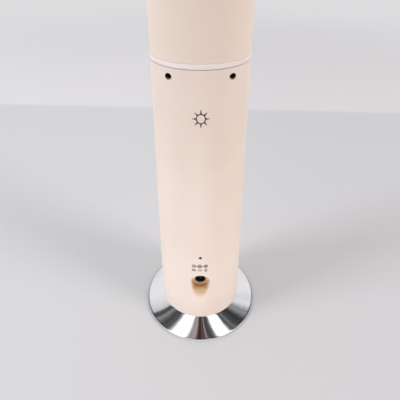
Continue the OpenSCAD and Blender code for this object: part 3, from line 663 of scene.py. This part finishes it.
# A geometry tree with named inputs for its sizes
def newTree(name, sizes):
    tree = bpy.data.node_groups.new(name, "GeometryNodeTree")
    tree.interface.new_socket("Geometry", in_out="INPUT", socket_type="NodeSocketGeometry")
    tree.interface.new_socket("Geometry", in_out="OUTPUT", socket_type="NodeSocketGeometry")
    for label, value in sizes.items():
        kinds = {int: "NodeSocketInt", float: "NodeSocketFloat", tuple: "NodeSocketVector"}
        item = tree.interface.new_socket(label, in_out="INPUT", socket_type=kinds[type(value)])
        item.default_value = value
    graph = Graph(tree)
    entry = graph.add("NodeGroupInput")
    return graph, dict(zip(["Geometry", *sizes], entry))


def closeTree(graph, geometry, material):
    real = graph.shape("RealizeInstances", {0: geometry})
    dressed = graph.shape("SetMaterial", {"Geometry": real, "Material": material})
    graph.add("NodeGroupOutput", {0: dressed})
    return graph.tree


# Runs a tree on a start mesh and keeps the result as a plain mesh
def growPiece(name, tree, sizes, body, start=None):
    piece = bpy.data.objects.new(name, start or bpy.data.meshes.new(name))
    scene.collection.objects.link(piece)
    modifier = piece.modifiers.new("shape", "NODES")
    modifier.node_group = tree
    for item in tree.interface.items_tree:
        if item.item_type == "SOCKET" and item.in_out == "INPUT" and item.name in sizes:
            modifier[item.identifier] = sizes[item.name]
    evaluated = piece.evaluated_get(bpy.context.evaluated_depsgraph_get())
    mesh = bpy.data.meshes.new_from_object(evaluated)
    piece.modifiers.clear()
    piece.data = mesh
    mesh.name = name
    weld = bmesh.new()
    weld.from_mesh(mesh)
    bmesh.ops.remove_doubles(weld, verts=weld.verts, dist=1e-7)
    bmesh.ops.recalc_face_normals(weld, faces=weld.faces)
    weld.to_mesh(mesh)
    weld.free()
    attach(piece, body)
    print("stage:", name, len(mesh.polygons), "faces")
    return piece


def smoothEdges(piece, degrees):
    for polygon in piece.data.polygons:
        polygon.use_smooth = True
    piece.data.set_sharp_from_angle(angle=math.radians(degrees))


# A closed section, rounded at its corners: each corner is radius, height and rounding
def roundedSection(corners):
    points = []
    count, steps = len(corners), 8
    for index, (x, y, rounding) in enumerate(corners):
        corner = Vector((x, y))
        back = Vector(corners[index - 1][:2]) - corner
        ahead = Vector(corners[(index + 1) % count][:2]) - corner
        if rounding == 0:
            points.append(corner)
            continue
        half = back.angle(ahead) / 2
        reach = min(rounding / math.tan(half), back.length * 0.49, ahead.length * 0.49)
        radius = reach * math.tan(half)
        start, end = corner + back.normalized() * reach, corner + ahead.normalized() * reach
        centre = corner + (back.normalized() + ahead.normalized()).normalized() * (radius / math.sin(half))
        first, last = start - centre, end - centre
        turn = first.angle_signed(last)
        for step in range(steps + 1):
            angle = -turn * step / steps
            cosine, sine = math.cos(angle), math.sin(angle)
            points.append(centre + Vector((first.x * cosine - first.y * sine, first.x * sine + first.y * cosine)))
    return points


def sectionMesh(name, corners, pathRadius):
    points = roundedSection(corners)
    mesh = bpy.data.meshes.new(name)
    count = len(points)
    mesh.from_pydata([(p.x - pathRadius, -p.y, 0) for p in points],
                     [(i, (i + 1) % count) for i in range(count)], [])
    return mesh


# Sweeps a section once round an axis
def sweepTree(name, material, sizes):
    graph, entry = newTree(name, sizes)
    section = graph.shape("MeshToCurve", {0: entry["Geometry"]})
    path = graph.shape("CurvePrimitiveCircle", {"Resolution": entry["steps"], "Radius": entry["pathRadius"]})
    swept = graph.shape("CurveToMesh", {"Curve": path, "Profile Curve": section})
    placed = graph.moved(swept, {"Translation": entry["place"], "Rotation": entry["turn"]})
    return closeTree(graph, placed, material)


def sweepPiece(name, corners, sizes, material, body):
    tree = sweepTree(name, material, sizes)
    piece = growPiece(name, tree, sizes, body, sectionMesh(name, corners, sizes["pathRadius"]))
    smoothEdges(piece, 40)
    return piece


# Spun foot: a flared sheet with a turned-down edge and a flange under the column
upright = {"steps": 256, "place": (0.0, 0.0, 0.0), "turn": (0.0, 0.0, 0.0)}
footSizes = {"pathRadius": 0.035, **upright}
footSection = [
    (0.0257, 0.0098, 0.0003), (0.0257, 0.011, 0.0003), (0.02925, 0.011, 0.0002), (0.029738, 0.010628, 0.0),
    (0.04084, 0.002165, 0.0), (0.04145, 0.0017, 0.0006),
    (0.04145, 0.0008, 0.0002), (0.04025, 0.0008, 0.0002), (0.04025, 0.0012, 0.0002), (0.0289, 0.0098, 0.0004),
]
foot = sweepPiece("spunFoot", footSection, footSizes, footFinish, "base")
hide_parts("base_skirt")

# Trim ring: a pale satin bead between the column and the hinge block
beadSizes = {"pathRadius": 0.024, **upright}
beadSection = [
    (0.0118, 0.1864, 0.0001), (0.0241, 0.1864, 0.0), (0.0241, 0.18665, 0.0), (0.02505, 0.18665, 0.0003),
    (0.02505, 0.18908, 0.0003), (0.0238, 0.18908, 0.0), (0.0238, 0.1889, 0.0), (0.0118, 0.1889, 0.0001),
]
bead = sweepPiece("trimBead", beadSection, beadSizes, trimFinish, "base")
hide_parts("trim_ring")

# Contact sleeve of the power socket, seen inside its bore
sleeveSizes = {"pathRadius": 0.0028, "steps": 48, "place": (0.0, 0.0, 0.0476), "turn": (math.pi / 2, 0.0, 0.0)}
sleeveSection = [(0.00272, 0.0150, 0.0), (0.00294, 0.0150, 0.0),
                 (0.00294, 0.0224, 0.0001), (0.00272, 0.0224, 0.0001)]
sweepPiece("socketSleeve", sleeveSection, sleeveSizes, pinFinish, "base")


# Flat signs are drawn in X and Y, with their thickness in Z, and then laid on the tapered column
signSizes = {"thickness": 0.00012, "proud": 0.00005, "stroke": 0.00044, "strokeStep": 0.0008}


def wrapOnColumn(graph, entry, geometry):
    x, y, z = graph.split(graph.shape("InputPosition"))
    height = y + entry["height"]
    share = (height - column["footTop"]) * (1 / (column["top"] - column["footTop"]))
    radius = share * (column["topRadius"] - column["footRadius"]) + column["footRadius"]
    angle = (x + entry["across"]) / radius
    reach = radius + z
    place = graph.join(angle.sine() * reach, angle.cosine() * reach * -1.0, height)
    return graph.shape("SetPosition", {"Geometry": geometry, "Position": place})


# Sun sign: one ray is drawn, and the tree repeats it round a ring
sunSizes = {"height": 0.1636, "across": 0.0002, "ringRadius": 0.0022, "rays": 8, "tall": 1.08}
sunRay = {"start": 0.0020, "end": 0.0042, "wide": 0.00085, "narrow": 0.00022}


def slabMesh(name, outlines):
    low, high = signSizes["proud"] - signSizes["thickness"], signSizes["proud"]
    slab = bmesh.new()
    for outline in outlines:
        bottom = [slab.verts.new((x, y, low)) for x, y in outline]
        top = [slab.verts.new((x, y, high)) for x, y in outline]
        slab.faces.new(top)
        slab.faces.new(bottom[::-1])
        for index in range(len(outline)):
            after = (index + 1) % len(outline)
            slab.faces.new([bottom[index], bottom[after], top[after], top[index]])
    mesh = bpy.data.meshes.new(name)
    slab.to_mesh(mesh)
    slab.free()
    return mesh


def sunTree(sizes, material):
    graph, entry = newTree("sunSign", sizes)
    points = graph.shape("MeshLine", {"Count": entry["rays"], "Offset": (0.0, 0.0, 0.0)})
    index = graph.shape("InputIndex")
    turn = graph.join(0.0, 0.0, index * (2 * math.pi) / entry["rays"])
    rays = graph.shape("InstanceOnPoints", {"Points": points, "Instance": entry["Geometry"], "Rotation": turn})
    path = graph.shape("CurvePrimitiveCircle", {"Resolution": 64, "Radius": entry["ringRadius"]})
    section = graph.shape("CurvePrimitiveQuadrilateral",
                          {"Width": signSizes["stroke"], "Height": signSizes["thickness"]})
    ring = graph.shape("CurveToMesh", {"Curve": path, "Profile Curve": section})
    sunk = signSizes["proud"] - signSizes["thickness"] / 2
    ring = graph.moved(ring, {"Translation": (0.0, 0.0, sunk)})
    both = graph.shape("JoinGeometry", {0: [rays, ring]})
    real = graph.shape("RealizeInstances", {0: both})
    real = graph.moved(real, {"Scale": graph.join(1.0, entry["tall"], 1.0)})
    return closeTree(graph, wrapOnColumn(graph, entry, real), material)


rayOutline = [
    (sunRay["start"], -sunRay["wide"] / 2), (sunRay["end"], -sunRay["narrow"] / 2),
    (sunRay["end"], sunRay["narrow"] / 2), (sunRay["start"], sunRay["wide"] / 2),
]
growPiece("sunSign", sunTree(sunSizes, inkFinish), sunSizes, "base",
          slabMesh("sunRay", [rayOutline]))


# Generic signs over the socket: polarity, and below it a cell, direct current and a lamp
def bar(x0, y0, x1, y1, wide=signSizes["stroke"]):
    along = Vector((x1 - x0, y1 - y0)).normalized()
    side = Vector((-along.y, along.x)) * (wide / 2)
    pieces = max(1, round(math.hypot(x1 - x0, y1 - y0) / signSizes["strokeStep"]))
    outlines = []
    for step in range(pieces):
        a, b = (Vector((x0, y0)).lerp(Vector((x1, y1)), (step + more) / pieces) for more in (0, 1))
        outlines.append([tuple(a - side), tuple(b - side), tuple(b + side), tuple(a + side)])
    return outlines


def arc(x, y, radius, start=0, end=360, wide=signSizes["stroke"], steps=24):
    inner, outer = radius - wide / 2, radius + wide / 2
    outlines = []
    for step in range(steps):
        a, b = (math.radians(start + (end - start) * (step + more) / steps) for more in (0, 1))
        outlines.append([
            (x + math.cos(turn) * reach, y + math.sin(turn) * reach)
            for turn, reach in ((a, inner), (a, outer), (b, outer), (b, inner))])
    return outlines


def frameSign(x0, y0, x1, y1):
    half = signSizes["stroke"] / 2
    return (bar(x0 - half, y0, x1 + half, y0) + bar(x0 - half, y1, x1 + half, y1)
            + bar(x0, y0, x0, y1) + bar(x1, y0, x1, y1))


polarity = (
    arc(-0.0043, 0, 0.0011) + bar(-0.0048, 0, -0.0038, 0)
    + bar(-0.0032, 0, -0.0015, 0) + arc(0, 0, 0.0014, 35, 325) + arc(0, 0, 0.00035, wide=0.0006, steps=12)
    + bar(0.0006, 0, 0.0031, 0)
    + arc(0.0042, 0, 0.0011) + bar(0.0037, 0, 0.0047, 0) + bar(0.0042, -0.0005, 0.0042, 0.0005)
)
row = -0.0037
cellSign = frameSign(-0.0053, row - 0.0007, -0.0035, row + 0.0007) + bar(-0.0032, row, -0.0028, row, 0.0007)
currentSign = bar(-0.0012, row + 0.0005, 0.0014, row + 0.0005) + [
    outline for step in range(3)
    for outline in bar(-0.0012 + step * 0.001, row - 0.0005, -0.0006 + step * 0.001, row - 0.0005)]
lampSign = arc(0.0042, row + 0.0002, 0.0008) + bar(0.0038, row - 0.0011, 0.0046, row - 0.0011)
signRow = {"height": 0.06265, "across": -0.0003, "wide": 0.92}


def signTree(sizes, material):
    graph, entry = newTree("socketSigns", sizes)
    narrowed = graph.moved(entry["Geometry"], {"Scale": graph.join(entry["wide"], 1.0, 1.0)})
    return closeTree(graph, wrapOnColumn(graph, entry, narrowed), material)


growPiece("socketSigns", signTree(signRow, inkFinish), signRow, "base",
          slabMesh("signStrokes", polarity + cellSign + currentSign + lampSign))


# Threads: a three-sided ridge on a spiral, repeated at each screw of a ring
def threadTree(name, sizes, material):
    graph, entry = newTree(name, sizes)
    spiral = graph.shape("CurveSpiral", {
        "Resolution": 20, "Rotations": entry["turns"], "Start Radius": entry["radius"],
        "End Radius": entry["radius"], "Height": entry["turns"] * entry["pitch"]})
    ridge = graph.shape("CurvePrimitiveCircle", {"Resolution": 3, "Radius": entry["ridge"]})
    thread = graph.shape("CurveToMesh", {"Curve": spiral, "Profile Curve": ridge, "Fill Caps": True})
    turn = graph.shape("InputIndex") / entry["screws"] * math.tau + math.pi / 2
    spot = graph.join(turn.cosine() * entry["ringRadius"], turn.sine() * entry["ringRadius"], 0.0)
    ring = graph.shape("Points", {"Count": entry["screws"], "Position": spot})
    ring = graph.moved(ring, {"Translation": entry["place"]})
    screws = graph.shape("InstanceOnPoints", {"Points": ring, "Instance": thread})
    return closeTree(graph, screws, material)


baseThread = {"radius": 0.00186, "pitch": 0.0007, "turns": 15.0, "ridge": 0.00022, "screws": 3,
              "ringRadius": 0.016, "place": (0.0, 0.0, 0.0382)}
shaftThread = {"radius": 0.0059, "pitch": 0.001, "turns": 5.0, "ridge": 0.00032, "screws": 1,
               "ringRadius": 0.0, "place": (0.0, 0.0, 0.1692)}
for name, sizes, body, slot in (("baseThreads", baseThread, "base", "black_screw"),
                                ("shaftThread", shaftThread, "hinge_block", "zinc_steel")):
    growPiece(name, threadTree(name, sizes, finishes[slot]), sizes, body)


# Lamp windows: a phosphor dome in each light chip, one in the middle and six round it
domeSizes = {"around": 6, "ringRadius": 0.0054, "domeRadius": 0.0011, "domeHeight": 0.0003}


def domeTree(sizes, material):
    graph, entry = newTree("lampWindows", sizes)
    dome = graph.shape("MeshUVSphere", {"Segments": 20, "Rings": 10, "Radius": entry["domeRadius"]})
    flat = graph.join(1.0, 1.0, entry["domeHeight"] / entry["domeRadius"])
    dome = graph.moved(dome, {"Scale": flat})
    ring = graph.shape("MeshCircle", {"Vertices": entry["around"], "Radius": entry["ringRadius"]})
    middle = graph.shape("MeshLine", {"Count": 1})
    spots = graph.shape("JoinGeometry", {0: [ring, middle]})
    domes = graph.shape("InstanceOnPoints", {"Points": spots, "Instance": dome})
    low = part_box("led_chips")[0].z
    placed = graph.moved(domes, {"Translation": (*headAxis, low)})
    return closeTree(graph, placed, material)


domes = growPiece("lampWindows", domeTree(domeSizes, phosphorFinish), domeSizes, "head")
smoothEdges(domes, 60)


# Small parts on the board: one chip body and its two soldered ends, scattered on a grid
scatterSizes = {"columns": 11, "rows": 44, "width": 0.022, "length": 0.106, "share": 0.34, "seed": 7,
                "face": -0.0122, "middle": 0.111}


def boxMesh(name, boxes):
    shape = bmesh.new()
    for low, high in boxes:
        made = bmesh.ops.create_cube(shape, size=1)["verts"]
        for vertex in made:
            vertex.co = Vector([low[i] if vertex.co[i] < 0 else high[i] for i in range(3)])
    mesh = bpy.data.meshes.new(name)
    shape.to_mesh(mesh)
    shape.free()
    return mesh


def scatterTree(name, sizes, material):
    graph, entry = newTree(name, sizes)
    grid = graph.shape("MeshGrid", {
        "Size X": entry["width"], "Size Y": entry["length"],
        "Vertices X": entry["columns"], "Vertices Y": entry["rows"]})
    grid = graph.moved(grid, {"Translation": graph.join(0.0, entry["face"], entry["middle"]),
                              "Rotation": (math.pi / 2, 0.0, 0.0)})
    chosen = graph.add("FunctionNodeRandomValue", {"Probability": entry["share"], "Seed": entry["seed"]},
                       {"data_type": "BOOLEAN"})[3]
    turned = graph.add("FunctionNodeRandomValue", {4: 0, 5: 1, "Seed": entry["seed"] + 1},
                       {"data_type": "INT"})[2]
    parts = graph.shape("InstanceOnPoints", {
        "Points": grid, "Selection": chosen, "Instance": entry["Geometry"],
        "Rotation": graph.join(0.0, turned * (math.pi / 2), 0.0)})
    return closeTree(graph, parts, material)


chipBody = boxMesh("chipBody", [((-0.00045, -0.00045, -0.00035), (0.00045, 0.0, 0.00035))])
chipEnds = boxMesh("chipEnds", [((-0.0007, -0.0005, -0.0004), (-0.00045, 0.0, 0.0004)),
                                ((0.00045, -0.0005, -0.0004), (0.0007, 0.0, 0.0004))])
for name, slot, shape in (("boardParts", "black_plastic", chipBody), ("boardSolder", "nickel_strip", chipEnds)):
    growPiece(name, scatterTree(name, scatterSizes, finishes[slot]), scatterSizes, "base", shape)


# Floor: one pale sheet with a soft tone line behind the lamp, the far side paler partly in its own tone and
# partly by painted light, and painted light makes it a little paler to the left
backdropTone = (0.72, 0.71, 0.725)
floorLook = {
    "near": (0.713, 0.708, 0.731), "far": (0.811, 0.795, 0.818), "cloud": (0.60, 0.585, 0.61), "cloudShare": 0.05,
    "cloudScale": 3.5, "fibreScale": 900.0, "lineDistance": 0.3719, "lineSlope": 0.0579, "lineSoft": 0.008,
    "size": 6.0, "slope": 0.16, "leftPaintedLight": 1.026, "rightPaintedLight": 0.968,
}


def floorSheet(graph, place):
    look = floorLook
    x, y, z = graph.split(place)
    beyond = (y + x * look["lineSlope"] - look["lineDistance"]).ramp(-look["lineSoft"], look["lineSoft"])
    cloud = graph.noise(place, look["cloudScale"], 2.0)
    fibre = graph.noise(place, look["fibreScale"])
    # the far tone is partly the backdrop's own paler tone and partly painted light for the lamps' falloff
    tone = graph.mix(beyond, look["near"], look["far"])
    tone = graph.mix(cloud.ramp(0.3, 0.7) * look["cloudShare"], tone, look["cloud"])
    # painted light: the sheet is a little paler to the left and darker to the right
    across = x.ramp(-look["slope"], look["slope"], look["leftPaintedLight"], look["rightPaintedLight"])
    tone = graph.multiply(tone, graph.join(across, across, across))
    return principled(tone, 0.8 + fibre * 0.1, graph.bump(fibre, 0.1, 0.00005))


# Bright metal sees a paler floor near the lamp and in the lane that the foot's sides mirror, and a dark
# band beyond. The camera sees the far floor fade into the backdrop. Distances in metres, lane in degrees
floorRays = {
    "pale": (0.93, 0.925, 0.94), "paleShare": 0.55, "paleEnd": (0.29, 0.38),
    "laneStart": (126, 132), "laneEnd": (158, 166),
    "dark": (0.05, 0.05, 0.055), "darkShare": 0.85, "darkEnd": (0.75, 0.95), "fade": (0.6, 1.5),
}


def floorOverlay(graph, place, shader):
    look = floorRays
    x, y, z = graph.split(place)
    away, angle = axisDistance(x, y), abs(fromBack(x, y))
    path = graph.add("ShaderNodeLightPath")
    camera, glossy = path[0], path[3]
    lane = angle.ramp(*look["laneStart"]) * angle.fall(*look["laneEnd"])
    pale = away.fall(*look["paleEnd"]).atLeast(lane)
    shader = graph.glow(shader, glossy * pale * look["paleShare"], look["pale"])
    dark = away.ramp(*look["paleEnd"]) * away.fall(*look["darkEnd"]) * (1 - lane)
    shader = graph.glow(shader, glossy * dark * look["darkShare"], look["dark"])
    return graph.glow(shader, camera * away.ramp(*look["fade"]), backdropTone)


def makeFloor(look):
    half = look["size"] / 2
    mesh = bpy.data.meshes.new("floor")
    mesh.from_pydata([(-half, -half, 0), (half, -half, 0), (half, half, 0), (-half, half, 0)], [], [(0, 1, 2, 3)])
    floor = bpy.data.objects.new("floor", mesh)
    scene.collection.objects.link(floor)
    floor.data.materials.append(makeMaterial(floorSheet, {"Specular IOR Level": 0.2}, overlay=floorOverlay))


makeFloor(floorLook)
print("stage: floor")


# Studio: soft lamps right and left of the camera and beyond the object, and three low fills
lampLook = {
    "right": {"around": 64, "rise": 34, "distance": 2.4, "size": 0.7, "watts": 17.6, "colour": (1.0, 0.90, 0.88)},
    "left": {"around": -70, "rise": 34, "distance": 2.4, "size": 0.7, "watts": 19.8, "colour": (0.93, 0.99, 1.0)},
    "rear": {"around": 176, "rise": 30, "distance": 2.4, "size": 0.9, "watts": 11.0, "colour": (1.0, 0.99, 0.98),
             "missFloor": True},
}
lampAim = (0, 0, 0.06)
fillLook = {
    "low": {"place": (0.0, -0.20, 0.03), "aim": (0.0, 0.0, 0.03), "width": 0.2, "height": 0.03,
            "watts": 0.092, "colour": (0.93, 0.96, 1.0)},
    "lowLeft": {"place": (-0.30, -0.20, 0.06), "aim": (0.0, 0.0, 0.05), "width": 0.2, "height": 0.08,
                "watts": 0.2, "colour": (0.47, 0.68, 1.0)},
    "lowRight": {"place": (0.30, -0.20, 0.06), "aim": (0.0, 0.0, 0.05), "width": 0.2, "height": 0.08,
                 "watts": 0.08, "colour": (0.4, 0.95, 0.95)},
}


# The fills and the rear lamp light the object, and leave no patch on the floor
objectOnly = bpy.data.collections.new("objectOnly")
objectOnly.objects.link(bpy.data.objects["floor"])
objectOnly.collection_objects[0].light_linking.link_state = "EXCLUDE"


def makeLamp(name, place, aim, width, height, watts, colour, missFloor=False):
    data = bpy.data.lights.new(name, "AREA")
    data.shape = "RECTANGLE"
    data.size = width
    data.size_y = height
    data.energy = watts
    data.color = colour
    lamp = bpy.data.objects.new(name, data)
    scene.collection.objects.link(lamp)
    lamp.location = place
    lamp.rotation_euler = (Vector(aim) - Vector(place)).to_track_quat("-Z", "Y").to_euler()
    lamp.visible_glossy = False
    lamp.visible_camera = False
    if missFloor:
        lamp.light_linking.receiver_collection = objectOnly


for side, look in lampLook.items():
    around, rise = math.radians(look["around"]), math.radians(look["rise"])
    place = Vector((math.sin(around) * math.cos(rise), -math.cos(around) * math.cos(rise), math.sin(rise)))
    makeLamp(side + "Lamp", place * look["distance"], lampAim, look["size"], look["size"],
             look["watts"], look["colour"], look.get("missFloor", False))
for name, look in fillLook.items():
    makeLamp(name + "Fill", **look, missFloor=True)


# The room is even for plain light, but dimmer behind the camera. Bright metal sees pale cards and dark
# flags round the lamp, at angles from its back and rises over the table. All angles are in degrees
roomLook = {
    "light": (1.0, 1.0, 1.0), "strength": 0.70, "dim": 0.71, "dimAngles": (15, 55), "dimRises": (50, 80),
    # A card leans with the rise, measured from the rise that the foot mirrors at each angle
    "lean": 4.1, "leanSoft": 20, "leanMost": 9, "mirrorRise": 47, "mirrorSquare": 0.00236, "mirrorFourth": 1.5e-8,
    "streak": (0.45, 0.45, 0.45), "streakShare": 0.35, "streakLevels": (0.45, 0.75), "streakReach": 92,
    "streakScale": 0.35, "streakRise": 0.02,
    # Bands over the cards: pale or dark near the floor, and a dark gap under the ceiling
    "lowRises": (9, 13), "low": (0.61, 0.61, 0.63), "lowAngles": (120, 128),
    "skirt": (0.05, 0.05, 0.055), "skirtShare": 0.9,
    "skirtStart": (50, 60), "skirtEnd": (104, 112), "skirtFront": (166, 172),
    "gap": (0.16, 0.16, 0.165), "gapRises": (52, 55), "ceiling": (0.85, 0.85, 0.86), "ceilingRises": (63, 66),
    # The cards, each with its angle and tone, the level of the whitest, and the blue of a grey one
    "white": 1.35, "reach": 180, "greyBlue": 1.04,
    "rightCards": [
        (0, (0.036, 0.026, 0.021)), (3, (0.11, 0.088, 0.085)), (6, (0.055, 0.042, 0.037)),
        (9.3, (0.38, 0.30, 0.29)), (11.5, (0.05, 0.041, 0.044)), (15, 0.068), (20, 0.088), (24, 0.20), (28, 1.35),
        (48.5, 1.35), (53, 0.07), (57, 0.09), (60, 0.20), (63, 0.085), (69, 0.055), (75, 0.036), (79, 0.07),
        (84, 0.24), (87, 0.30), (90, 0.25), (94, 0.43), (99, 0.72), (103, 0.78), (111, 0.70), (120, 0.79),
        (138, 0.82), (141, 0.11), (150, 0.06), (158, 0.30), (161, 1.2), (180, 1.0),
    ],
    "leftCards": [
        (0, (0.036, 0.026, 0.021)), (4, (0.06, 0.042, 0.037)), (8, (0.42, 0.315, 0.30)), (12, (0.40, 0.33, 0.32)),
        (15, (0.30, 0.27, 0.30)), (18.5, 0.42), (23, 1.35), (48, 1.35), (52.5, 0.42), (56, 0.11), (60, 0.075),
        (63, 0.095), (66, 0.056), (70, 0.085), (75, 0.17), (78, 0.30), (82, 0.08), (85.5, 0.06), (88, 0.16),
        (89.5, 0.56), (96, 0.66), (105, 0.77), (117, 0.83), (139, 0.83), (142, 0.09), (153, 0.07), (160, 0.26),
        (163, 1.2), (180, 1.0),
    ],
}


# A row of cards as a colour ramp over the angle; tones are shares of the white card
def cardRamp(graph, spread, cards):
    reach, white, blue = roomLook["reach"], roomLook["white"], roomLook["greyBlue"]
    stops = []
    for angle, tone in cards:
        tone = tone if isinstance(tone, tuple) else (tone, tone, tone * blue)
        stops.append((angle / reach, tuple(min(1.0, part / white) for part in tone)))
    return graph.add("ShaderNodeValToRGB", {0: spread / reach}, {"stops": stops})[0]


def cardTone(graph, look, around, rise):
    square = around * around
    mirrored = rise - look["mirrorRise"] + square * (square * look["mirrorFourth"] + look["mirrorSquare"])
    lean = (mirrored * look["lean"]).atLeast(-look["leanMost"]).atMost(look["leanMost"])
    spread = around + lean * (around / look["leanSoft"]).atLeast(-1.0).atMost(1.0)
    tone = graph.mix(spread > 0, cardRamp(graph, spread * -1.0, look["leftCards"]),
                     cardRamp(graph, spread, look["rightCards"]))
    streaks = graph.noise(graph.join(spread * look["streakScale"], rise * look["streakRise"], 0.0), 1.0, 3.0, 0.6)
    streaked = (abs(spread) < look["streakReach"]) * streaks.ramp(*look["streakLevels"]) * look["streakShare"]
    tone = graph.multiply(tone, look["streak"], streaked)
    side = abs(around)
    low = rise.fall(*look["lowRises"])
    tone = graph.mix(low * side.ramp(*look["lowAngles"]), tone, look["low"])
    flank = side.ramp(*look["skirtStart"]) * side.fall(*look["skirtEnd"]) + side.ramp(*look["skirtFront"])
    tone = graph.mix(low * flank * look["skirtShare"], tone, look["skirt"])
    tone = graph.mix(rise.ramp(*look["gapRises"]), tone, look["gap"])
    return graph.mix(rise.ramp(*look["ceilingRises"]), tone, look["ceiling"])


def makeRoom(look):
    world = bpy.data.worlds.new("studio")
    scene.world = world
    world.use_nodes = True
    graph = Graph(world.node_tree)
    x, y, z = graph.split(graph.add("ShaderNodeTexCoord")[0])
    around, rise = fromBack(x, y), z.maths("ARCSINE", z) * (180 / math.pi)
    tone = cardTone(graph, look, around, rise)
    cards = graph.add("ShaderNodeBackground", {0: tone, 1: look["white"]})[0]
    dim = abs(around).fall(*look["dimAngles"]) * rise.fall(*look["dimRises"])
    level = (1 - dim * look["dim"]) * look["strength"]
    room = graph.add("ShaderNodeBackground", {0: look["light"], 1: level})[0]
    path = graph.add("ShaderNodeLightPath")
    camera, glossy = path[0], path[3]
    both = graph.add("ShaderNodeMixShader", {0: glossy, 1: room, 2: cards})[0]
    backdrop = graph.add("ShaderNodeBackground", {0: backdropTone, 1: 1.0})[0]
    seen = graph.add("ShaderNodeMixShader", {0: camera, 1: both, 2: backdrop})[0]
    graph.add("ShaderNodeOutputWorld", {0: seen})


makeRoom(roomLook)
print("stage: lamps and room")
